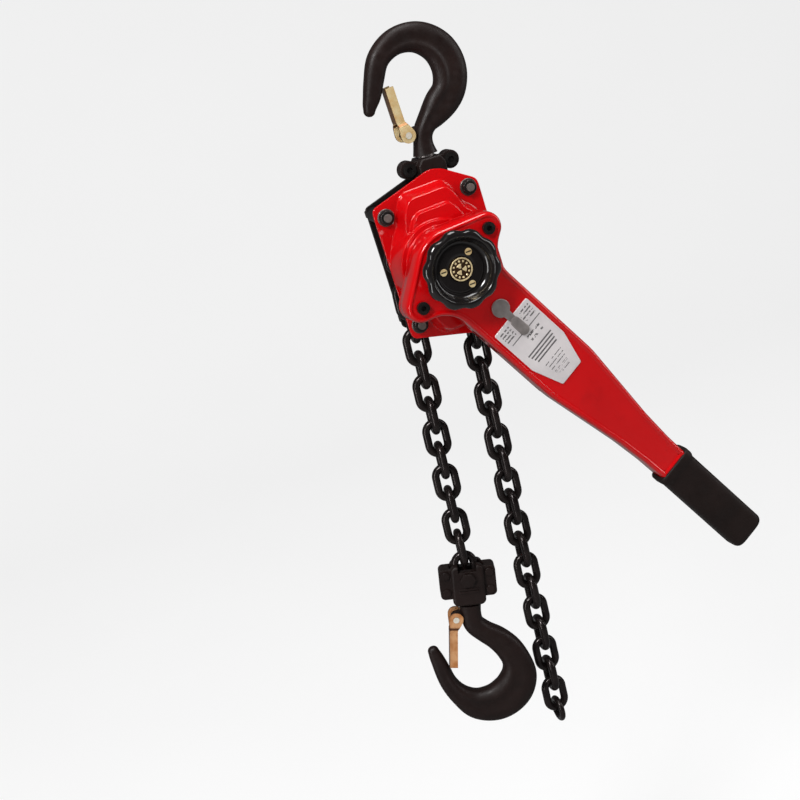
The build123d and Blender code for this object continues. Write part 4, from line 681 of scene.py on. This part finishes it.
STEM_R = 8
TOP_BOWL_R = 25.2
TOP_BACK_R = 51.8
TOP_BACK_OFFSET = (7.6, 0.5)
TOP_PIVOT = (-15.6, -50.2)
TOP_FACING = Facing(Vector((0, 0, 0)), 0)
top_stations = [(-45.2, -19.5, 11, 11, 0), (-43.6, -15, 13.5, 13, 0), (-40.2, -8.5, 16.5, 15, 0.1)]
for angle, thick, bead in (
    (168, 17, 0.15), (135, 19, 0.3), (100, 21, 0.6), (65, 22, 0.9), (30, 22, 1), (0, 22, 1), (-28, 22, 1)
):
    top_stations.append((*hook_station(angle, TOP_BOWL_R, TOP_BACK_R, TOP_BACK_OFFSET), thick, bead))
top_stations += [(24.5, -31.0, 32, 22, 0.9), (15.5, -38.5, 26.5, 22, 0.7), (6.5, -46, 19.5, 21, 0.4),
                 (1.8, -53, 18.5, 20, 0.15), (0.2, -61, 18.2, 19, 0), (-0.2, -67, 20.5, 20, 0),
                 (-0.2, -72.5, 23.5, 22, 0)]
top_hook = hook_piece("top_hook_forging", "top_hook", TOP_FACING, top_stations, 1, ("top_hook",))
lug(top_hook, TOP_FACING, TOP_PIVOT, (1, -51), 5, 7, 5)
top_hook.make()
stem = Piece("top_hook_stem", "top_hook", "zinc", slot="black_forging")
stem.skin(TOP_FACING, stem_rows(-93, -69, STEM_R), cap_start=True, cap_end=True)
stem.make()

LOW_STEM = Vector(JOINTS["bottom_hook_swivel"]["axis"])
LOW_HINGE = Vector(JOINTS["bottom_yoke_swing"]["axis"])
LOW_TWIST = math.atan2(-LOW_HINGE.x, LOW_HINGE.y)
LOW_TURN = -math.asin((Matrix.Rotation(-LOW_TWIST, 3, "Z") @ LOW_STEM).x)
LOW = Facing(Vector(JOINTS["bottom_yoke_swing"]["pos_m"]), LOW_TURN, LOW_TWIST)
LOW_BOWL = (1.0, -101.5)
LOW_BOWL_R = 26.3
LOW_BACK_R = 46.7
LOW_BACK_OFFSET = (14.0, -17.5)
low_stations = [(-43.8, 21.5, 11.5, 10.5, 0), (-42.2, 16.5, 13.5, 12, 0.05), (-39.6, 9, 15.2, 14, 0.1),
                (-36.3, -1.5, 17, 16, 0.3), (-31.8, -14.8, 18, 18, 0.6)]
for angle, thick, bead in (
    (238, 21, 0.9), (264, 23, 1), (292, 24, 1), (318, 24, 0.9), (342, 24, 0.6), (2, 23, 0.4)
):
    low_stations.append((*hook_station(angle, LOW_BOWL_R, LOW_BACK_R, LOW_BACK_OFFSET), thick, bead))
low_stations += [(34.7, 15.5, 28, 22, 0.25), (23.2, 28.5, 25, 22, 0.15), (11.2, 37.5, 22, 22, 0.05),
                 (1.0, 48, 21.5, 21, 0), (-1.0, 60.5, 21.5, 21, 0), (-1.0, 70.5, 23, 22, 0)]
low_stations = [(x + LOW_BOWL[0], y + LOW_BOWL[1], *rest) for x, y, *rest in low_stations]
bottom_hook = hook_piece("bottom_hook_forging", "bottom_hook", LOW, low_stations, -1, ("bottom_hook",))
LOW_PIVOT = (-17.0 + LOW_BOWL[0], 57.5 + LOW_BOWL[1])
lug(bottom_hook, LOW, LOW_PIVOT, (0, LOW_PIVOT[1]), 5, 7, 5)
bottom_hook.skin(LOW, stem_rows(-34, -17, STEM_R), cap_start=True, cap_end=True)
bottom_hook.make()

YOKE_FACE = 13.5
RIDGE_HALF = 9.5
ridge_plane = Facing(LOW.point(0, 0, YOKE_FACE), LOW_TURN, LOW_TWIST)
ridges = Piece("bottom_yoke_ridges", "bottom_yoke", "forging", (), "black_forging")
for height in (-10.2, -13.4):
    lug(ridges, ridge_plane, (-RIDGE_HALF, height), (RIDGE_HALF, height), 1.2, 1.2, 0.8, 0.4)
ridges.make()


# ---------------------------------------------------------------- safety latches
def latch_piece(name, body, facing, reach, side, material, replaced):
    """Bent sheet latch: round ears at the pivot, a joggle, then a channel; side is 1 when its web is left."""
    latch = Piece(name, body, material, replaced, "brass_plate")
    along = np.concatenate((-7.4 * np.cos(np.linspace(0, math.pi / 2, 12)), np.linspace(0.6, reach, 44)))
    ear_r = 7.5
    ear = np.sqrt(np.clip(ear_r**2 - np.clip(along, -ear_r, 0) ** 2, 0, None))
    blend = smooth_step(along, 0, 15)
    upper = ear * (1 - blend) + (6.2 - 0.035 * np.clip(along, 0, None)) * blend
    lower = -ear * (1 - blend) + (-1.8 - 0.03 * np.clip(along, 0, None)) * blend
    half = 9.3 - 3.0 * smooth_step(along, 8.5, 13)
    columns = 7
    for front in (1, -1):
        rows = []
        for a, top, bottom, depth in zip(along, upper, lower, half):
            across = np.linspace(bottom, top, columns) * side
            rows.append(np.column_stack((np.full(columns, a), across, np.full(columns, front * depth))))
        latch.skin(facing, rows, close=False)
    rows = []
    for a, top, depth in zip(along, upper, half):
        if a < 13:
            continue
        web = np.linspace(-depth, depth, columns)
        rows.append(np.column_stack((np.full(columns, a), np.full(columns, top * side), web)))
    latch.skin(facing, rows, close=False)
    piece = latch.make(sharp=40)
    wall = piece.modifiers.new("wall", "SOLIDIFY")
    wall.thickness = 1.7 * MM
    wall.offset = 0
    bevel = piece.modifiers.new("edge", "BEVEL")
    bevel.width = 0.4 * MM
    bevel.segments = 2
    bevel.limit_method = "ANGLE"
    return piece


TOP_LATCH_TURN = math.radians(97.5)
LOW_LATCH_TURN = LOW_TURN + math.radians(263)
top_latch_facing = Facing(Vector(JOINTS["top_latch_open"]["pos_m"]), TOP_LATCH_TURN)
low_latch_facing = Facing(Vector(JOINTS["bottom_latch_open"]["pos_m"]), LOW_LATCH_TURN, LOW_TWIST)
latch_piece("top_latch_sheet", "top_latch", top_latch_facing, 48.5, 1, "brass", ("top_latch",))
latch_piece("bottom_latch_sheet", "bottom_latch", low_latch_facing, 55, -1, "copper", ("bottom_latch",))


# ---------------------------------------------------------------- hand wheel and its cap
WHEEL_BACK, DISH_FLOOR = 82.5, 98.0
LOBES = 10


def wheel_lobes(angles):
    """Broad lobes with soft narrow valleys between them."""
    step = 2 * math.pi / LOBES
    away = np.abs((angles - math.radians(20) + step / 2) % step - step / 2)
    return 0.9 - 2.3 * smooth_step(away, step * 0.08, step * 0.5)


wheel = Piece("hand_wheel_casting", "drive_shaft", "wheel", ("hand_wheel",), "wheel_black")
# radius, depth and share of the lobes: bore, back, outer wall, rounded rim, dish wall, groove and dish floor
wheel_profile = [
    (8.2, 90.0, 0), (8.2, WHEEL_BACK, 0), (26, WHEEL_BACK, 0.1), (30.5, 84, 0.5),
    (33.6, 90, 0.9), (35.6, 95, 1), (36.9, 99, 1), (37.3, 101.5, 1),
    (36.9, 103.6, 0.95), (35.8, 105.3, 0.85), (34.2, 106.5, 0.65), (32.6, 106.9, 0.4),
    (31.2, 106.8, 0.2), (30.4, 106.2, 0.05), (29.9, 105.2, 0), (29.4, 103.8, 0),
    (27.2, 100.4, 0), (25.6, 98.6, 0), (24.6, 98.05, 0), (23.4, DISH_FLOOR, 0),
    (22.6, 98.1, 0), (22.0, 98.7, 0), (21.4, 98.9, 0), (20.6, 98.9, 0),
    (15.0, 98.8, 0), (12.4, 98.8, 0), (12.0, 98.4, 0), (12.0, 90.0, 0),
]
wheel.skin(BODY, lathe_rows(wheel_profile, 240, wheel_lobes))
wheel.make(sharp=60)

SCREWS_R, SCREW_HEAD, SLOT_HALF = 17.5, 1.8, 2.3
# painted shade: thin dark bars on the screw heads stand in for the shade inside their slots
slot_shades = Piece("wheel_screw_slot_shades", "drive_shaft", "fastener", (), "dark_fastener")
slot_plane = Facing(BODY.point(0, 0, DISH_FLOOR + SCREW_HEAD), BODY_TURN)
for angle in np.radians((50, 170, 290)):
    slot_x, slot_y = SCREWS_R * math.cos(angle), SCREWS_R * math.sin(angle)
    lug(slot_shades, slot_plane, (slot_x - SLOT_HALF, slot_y), (slot_x + SLOT_HALF, slot_y), 0.6, 0.6, 0.15, 0.05)
slot_shades.make()

CAP_R, CAP_BACK = 11.5, 96.5
cap = Piece("wheel_cap_disc", "drive_shaft", "cap", ("wheel_cap",), "brass_plate")
cap_columns = 240
cap_angles = np.linspace(0, 2 * math.pi, cap_columns, endpoint=False)
cap_rows = []
for radius in np.concatenate((np.linspace(0.05, 11.0, 60), (11.3, CAP_R, CAP_R))):
    rim = 0.7 * (smooth_step(radius, 9.5, 9.9) - smooth_step(radius, 10.9, 11.4))
    ticks = 0.6 * smooth_step(np.cos(12 * cap_angles), 0.0, 0.5) * (
        smooth_step(radius, 6.6, 7.0) - smooth_step(radius, 8.4, 8.8)
    )
    petals = 0.8 * smooth_step(np.cos(3 * cap_angles + 0.6), -0.3, 0.3) * (
        smooth_step(radius, 0.8, 1.6) - smooth_step(radius, 5.0, 5.6)
    )
    depth = CAP_FLOOR + rim + ticks + petals - 1.2 * smooth_step(radius, 11.2, CAP_R)
    cap_rows.append(np.column_stack((radius * np.cos(cap_angles), radius * np.sin(cap_angles),
                                     np.broadcast_to(depth, cap_columns))))
cap_edge = CAP_R * np.cos(cap_angles), CAP_R * np.sin(cap_angles)
cap_rows.append(np.column_stack((*cap_edge, np.full(cap_columns, CAP_BACK))))
cap.skin(BODY, cap_rows, cap_start=True)
cap.make(sharp=50)


# ---------------------------------------------------------------- brake cover
OUTLINE_POINTS = ((-44, 66), (22, 84), (34, 81), (66, 60), (66, -60), (34, -81), (22, -84), (-44, -66))
STEP_ONE = (
    (57, 20), (54, 34), (43, 43), (38, 58), (30, 70), (-12, 70), (-20, 58), (-25, 41), (-35, 26), (-38, 14)
)
STEP_TWO = (
    (51, 12), (48, 26), (38, 34), (33, 44), (26, 54), (-8, 54), (-15, 48), (-22, 36), (-31, 24), (-34, 8)
)
COVER_COLUMNS = 720


def radial_of(points, blur):
    """Distance from the shaft to a closed outline in each direction, with its corners softened."""
    angles = np.linspace(0, 2 * math.pi, COVER_COLUMNS, endpoint=False)
    points = [np.array(point, float) for point in points]
    reach = np.zeros(COVER_COLUMNS)
    for start, end in zip(points, points[1:] + points[:1]):
        side = end - start
        for index, angle in enumerate(angles):
            ray = np.array((math.cos(angle), math.sin(angle)))
            across = ray[0] * side[1] - ray[1] * side[0]
            if abs(across) < 1e-9:
                continue
            distance = (start[0] * side[1] - start[1] * side[0]) / across
            part = (start[0] * ray[1] - start[1] * ray[0]) / across
            if distance > 0 and -1e-6 <= part <= 1 + 1e-6:
                reach[index] = max(reach[index], distance)
    width = max(1, int(blur / 360 * COVER_COLUMNS))
    window = np.hanning(2 * width + 3)[1:-1]
    window /= window.sum()
    padded = np.concatenate((reach[-len(window):], reach, reach[:len(window)]))
    return np.convolve(padded, window, "same")[len(window):-len(window)]


def both_halves(points):
    """The points of an upper half outline, followed by their mirror images below."""
    return list(points) + [(x, -y) for x, y in reversed(points)]


def cover_piece():
    """Stamped cover: each step is a soft wall, and the highest step wins at every point."""
    flange, seat, bore = 22.2, 20.0, 17.0
    edge = radial_of(OUTLINE_POINTS, 5)
    steps = (
        (radial_of(both_halves(STEP_ONE), 7), 40.0, 7.0),
        (radial_of(both_halves(STEP_TWO), 7), 46.0, 3.6),
        (np.full(COVER_COLUMNS, 43.5), 50.0, 3.2),
        (np.full(COVER_COLUMNS, 37.5), 52.0, 1.8),
    )
    angles = np.linspace(0, 2 * math.pi, COVER_COLUMNS, endpoint=False)
    samples, kept = 700, 120
    table = np.zeros((kept + 3, COVER_COLUMNS, 3))
    for column, angle in enumerate(angles):
        radius = np.linspace(edge[column], bore, samples)
        height = np.zeros(samples)
        for outline, top, wall in steps:
            rise = (top - flange) * smooth_step(outline[column] + wall * 0.35 - radius, 0, wall)
            height = (height**10 + rise**10) ** 0.1
        depth = flange + height
        length = np.concatenate(([0], np.cumsum(np.hypot(np.diff(radius), np.diff(depth)))))
        even = np.linspace(0, length[-1], kept)
        radius, depth = np.interp(even, length, radius), np.interp(even, length, depth)
        radius = np.concatenate(((edge[column], edge[column], edge[column] - 0.25), radius))
        radius[3] -= 0.6
        depth = np.concatenate(((seat, flange - 0.6, flange - 0.12), depth))
        table[:, column, 0] = radius * math.cos(angle)
        table[:, column, 1] = radius * math.sin(angle)
        table[:, column, 2] = depth
    cover = Piece("brake_cover_stamping", "frame", "red", ("brake_cover",), "red_paint")
    cover.skin(BODY, table)
    return cover.make(sharp=50)


cover_piece()


# ---------------------------------------------------------------- fasteners of the covers
FASTENERS = ((-33.0, 55.0), (54.5, 55.0), (-33.0, -55.0), (54.5, -55.0))


def hex_rows(centre, across, start, end, columns=72):
    """Rows of a hexagon nut with a round chamfer at its outer end."""
    angles = np.linspace(0, 2 * math.pi, columns, endpoint=False)
    flat = across / 2 / np.cos((angles + math.pi / 6) % (math.pi / 3) - math.pi / 6)
    rows = []
    half = across / 2
    for depth, limit in (
        (start, 2 * half), (end - 1.4, 2 * half), (end - 0.9, half * 1.12), (end - 0.3, half * 1.03),
        (end, half * 0.94), (end, 4.3), (start, 4.2),
    ):
        radius = np.minimum(flat, limit)
        x, y = centre[0] + radius * np.cos(angles), centre[1] + radius * np.sin(angles)
        rows.append(np.column_stack((x, y, np.full(columns, depth))))
    return rows


nuts = Piece("cover_nut_set", "frame", "fastener", ("cover_nuts",), "dark_fastener")
washers = Piece("cover_washer_set", "frame", "washer", (), "dark_fastener")
for centre in FASTENERS:
    nuts.skin(BODY, hex_rows(centre, 13.0, 23.8, 28.4))
    nuts.skin(BODY, hex_rows(centre, 10.4, -23.8, -28.2))
    for outer, depth in ((8.5, 22.2), (6.0, -22.2)):
        lift = 1.7 if depth > 0 else -1.7
        profile = [(4.1, depth), (outer, depth), (outer, depth + lift * 0.75), (outer - 0.5, depth + lift),
                   (4.1, depth + lift)]
        washers.skin(BODY, lathe_rows(profile, 48, centre=centre))
nuts.make()
washers.make()


# ---------------------------------------------------------------- lever shell and grip
LEVER_FACE = 80.0
SHELL_BACK = 56.5
SHELL_WALL = 2.4
HUB_R = 12.0
SELECTOR_S, SELECTOR_SHAFT_R = 62.0, 5.0
FIT = 0.05
shell_loop = even_loop(to_local(LEVER, loop_of("lever_front_shell", SHELL_BACK)), 1.0)
shell_normals = loop_normals(shell_loop)
shell = Piece("lever_shell_stamping", "lever", "red", ("lever_front_shell",), "red_paint")
# inset from the outline and depth: side wall, rounded bead along the edge, then the flat face
SHELL_PROFILE = (
    (SHELL_WALL, SHELL_BACK), (0.5, SHELL_BACK), (0, SHELL_BACK + 0.5), (0, 66), (0.1, 74),
    (0.4, 76.4), (0.9, 78.0), (1.7, 79.2), (2.6, 79.85), (3.4, LEVER_FACE),
    (4.2, 79.85), (4.9, 79.45), (5.6, 79.1), (6.3, 79.0), (7.2, 79.0),
)
shell_rows = [
    np.column_stack((shell_loop - shell_normals * inset, np.full(len(shell_loop), depth)))
    for inset, depth in SHELL_PROFILE
]
shell.skin(LEVER, shell_rows)
SHELL_HOLES = ((0, 0, HUB_R + FIT), (SELECTOR_S, 0, SELECTOR_SHAFT_R + FIT))
shell.pierced_face(LEVER, shell_rows[-1][:, :2], SHELL_PROFILE[-1][1], SHELL_HOLES, SHELL_WALL)
shell.make(sharp=50)

GRIP_START, GRIP_END = 315.5, 440.0
GRIP_HALF_WIDTH, GRIP_HALF_DEPTH, GRIP_END_R = 20.0, 13.5, 9.0
grip = Piece("lever_grip_sleeve", "lever", "rubber", ("lever_grip",), "grip_rubber")
grip_columns = 72
grip_angles = np.linspace(0, 2 * math.pi, grip_columns, endpoint=False)
grip_rows = []
GRIP_SECTIONS = [
    (GRIP_START + 2.5, 17.4, 11.5), (GRIP_START, 18.0, 12.0), (GRIP_START, 20.2, 13.6),
    (GRIP_START + 0.5, 21.0, 14.4), (GRIP_START + 1.5, 21.6, 14.8), (GRIP_START + 7, 21.7, 14.8),
    (GRIP_START + 9, 21.3, 14.5), (GRIP_START + 11, 20.3, 13.7), (GRIP_START + 13, 20.0, 13.5),
]
for along in np.linspace(GRIP_START + 20, GRIP_END - 12, 12):
    GRIP_SECTIONS.append((along, GRIP_HALF_WIDTH, GRIP_HALF_DEPTH))
for turn in np.linspace(0, math.pi / 2, 12):
    along = GRIP_END - GRIP_END_R + GRIP_END_R * math.sin(turn)
    drawn_in = 1 - math.cos(turn)
    GRIP_SECTIONS.append((along, GRIP_HALF_WIDTH - GRIP_END_R * drawn_in, GRIP_HALF_DEPTH - 7 * drawn_in))
for along, half_width, half_depth in GRIP_SECTIONS:
    power = 2 / 5.0
    across = half_width * np.sign(np.cos(grip_angles)) * np.abs(np.cos(grip_angles)) ** power
    depth = 67 + half_depth * np.sign(np.sin(grip_angles)) * np.abs(np.sin(grip_angles)) ** power
    grip_rows.append(np.column_stack((np.full(grip_columns, along), across, depth)))
grip.skin(LEVER, grip_rows, cap_start=True, cap_end=True)
grip.make(sharp=50)

# ---------------------------------------------------------------- rating plate and selector
plate_loop = even_loop(to_local(LEVER, loop_of("rating_plate", 80.6)), 0.8)
plate_normals = loop_normals(plate_loop)
rating = Piece("rating_plate_print", "lever", "label", ("rating_plate",), "plate_silver")
rating_rows = [
    np.column_stack((plate_loop - plate_normals * inset, np.full(len(plate_loop), depth)))
    for inset, depth in ((0.3, 78.9), (0, 79.0), (0, 79.8), (0.25, 80.05), (0.6, 80.1))
]
rating.skin(LEVER, rating_rows, cap_end=True)
rating.make(axes=LEVER)


def knob_profile(radius, start, end):
    """Disc's profile with a rounded front edge."""
    return rounded([(radius, start), (radius, end), (0.05, end)], 0.9)


knob = Piece("selector_knob_handle", "selector", "zinc", ("selector_knob",), "zinc_steel")
knob_rows = lathe_rows(knob_profile(9.0, 80.2, 83.2), 64, centre=(SELECTOR_S, 0))
knob.skin(LEVER, knob_rows, cap_start=True, cap_end=True)
shaft_profile = [(SELECTOR_SHAFT_R, 70), (SELECTOR_SHAFT_R, 81)]
knob.skin(LEVER, lathe_rows(shaft_profile, 40, centre=(SELECTOR_S, 0)), cap_start=True)
arm_plane = Facing(LEVER.point(0, 0, 81.6), LEVER_TURN)
lug(knob, arm_plane, (SELECTOR_S + 4, 0), (SELECTOR_S + 22, 0), 4.2, 3.6, 1.2, 0.7)
pad_plane = Facing(LEVER.point(0, 0, 82.0), LEVER_TURN)
lug(knob, pad_plane, (SELECTOR_S + 20, 0), (SELECTOR_S + 32, 0), 5.0, 5.4, 1.5, 1.2)
knob.make()

# ---------------------------------------------------------------- camera
AZIMUTH, ELEVATION, ROLL = (math.radians(angle) for angle in (-14.8, 15.7, -13.6))
CAMERA_DISTANCE = 1.6
TARGET = Vector((-0.0825, 0, -0.3006))
LENS = 72.66
FILM = 36.0

back = Vector((
    math.sin(AZIMUTH) * math.cos(ELEVATION), -math.cos(AZIMUTH) * math.cos(ELEVATION), math.sin(ELEVATION)
))
level_right = Vector((math.cos(AZIMUTH), math.sin(AZIMUTH), 0))
level_up = back.cross(level_right)
cam_right = math.cos(ROLL) * level_right + math.sin(ROLL) * level_up
cam_up = -math.sin(ROLL) * level_right + math.cos(ROLL) * level_up
camera_data = bpy.data.cameras.new("camera")
camera_data.lens = LENS
camera_data.sensor_width = FILM
camera_data.clip_end = 50
camera = bpy.data.objects.new("camera", camera_data)
camera.matrix_world = Matrix.Translation(TARGET + back * CAMERA_DISTANCE) @ Matrix(
    (cam_right, cam_up, back)
).transposed().to_4x4()
bpy.context.scene.collection.objects.link(camera)
bpy.context.scene.camera = camera


# ---------------------------------------------------------------- floor and light
def area_light(name, place, target, size, power, size_y=None, glossy=True):
    """Soft rectangular light aimed at the target; glossy says whether reflections show it."""
    data = bpy.data.lights.new(name, "AREA")
    data.energy = power
    data.shape = "RECTANGLE"
    data.size = size
    data.size_y = size_y or size
    light = bpy.data.objects.new(name, data)
    light.location = place
    light.rotation_euler = (Vector(target) - Vector(place)).to_track_quat("-Z", "Y").to_euler()
    bpy.context.scene.collection.objects.link(light)
    light.visible_glossy = glossy
    return light


def sweep_floor():
    """Floor that curves up into a backdrop, well below and behind the hoist."""
    low = CAD_BOX[0][2] - 0.35
    deep, bend, tall, wide = 2.2, 1.4, 4.0, 7.0
    profile = [(-4.0, low), (deep, low)]
    for step in range(1, 13):
        angle = step / 12 * math.pi / 2
        profile.append((deep + bend * math.sin(angle), low + bend * (1 - math.cos(angle))))
    profile.append((deep + bend, low + tall))
    mesh = bpy.data.meshes.new("floor")
    verts = [(x, y, z) for x in (-wide, wide) for y, z in profile]
    count = len(profile)
    faces = [(i, i + 1, count + i + 1, count + i) for i in range(count - 1)]
    mesh.from_pydata(verts, [], faces)
    for face in mesh.polygons:
        face.use_smooth = True
    floor = bpy.data.objects.new("floor", mesh)
    bpy.context.scene.collection.objects.link(floor)
    shader = Shader("floor_paper")
    seen = shader.add("LightPath").outputs["Is Camera Ray"]
    shade = shader.mix(shader.noise(3, 2), (0.18, 0.18, 0.18), (0.20, 0.20, 0.20))
    shader.set(Base_Color=shade, Roughness=0.9, Emission_Color=(1, 1, 1, 1))
    shader.set(Emission_Strength=shader.grey_ramp(seen, 0.02, 0.74, 0, 1))
    mesh.materials.append(shader.material)


sweep_floor()
WORLD_STRENGTH = 0.45
WORLD_IN_GLOSS = 0.04
centre = Vector((-0.03, 0, -0.25))
area_light("key", (-1.15, -1.25, 1.25), centre, 0.55, 42)
area_light("left_strip", (-1.7, -0.9, -0.35), centre, 0.35, 14, 1.5)
area_light("right_strip", (1.7, -0.7, 0.3), centre, 0.35, 12, 1.5)
area_light("top", (0.25, -0.35, 1.6), centre, 0.9, 24)
area_light("front_fill", (-0.5, -2.6, 0.2), centre, 1.2, 10, glossy=False)
world = bpy.data.worlds.new("studio")
bpy.context.scene.world = world
world.use_nodes = True
sky = world.node_tree
dim = sky.nodes.new("ShaderNodeMapRange")
sky.links.new(sky.nodes.new("ShaderNodeLightPath").outputs["Is Glossy Ray"], dim.inputs["Value"])
dim.inputs["To Min"].default_value = WORLD_STRENGTH
dim.inputs["To Max"].default_value = WORLD_IN_GLOSS
sky.nodes["Background"].inputs["Color"].default_value = (1, 1, 1, 1)
sky.links.new(dim.outputs[0], sky.nodes["Background"].inputs["Strength"])
bpy.context.scene.view_settings.view_transform = "Standard"
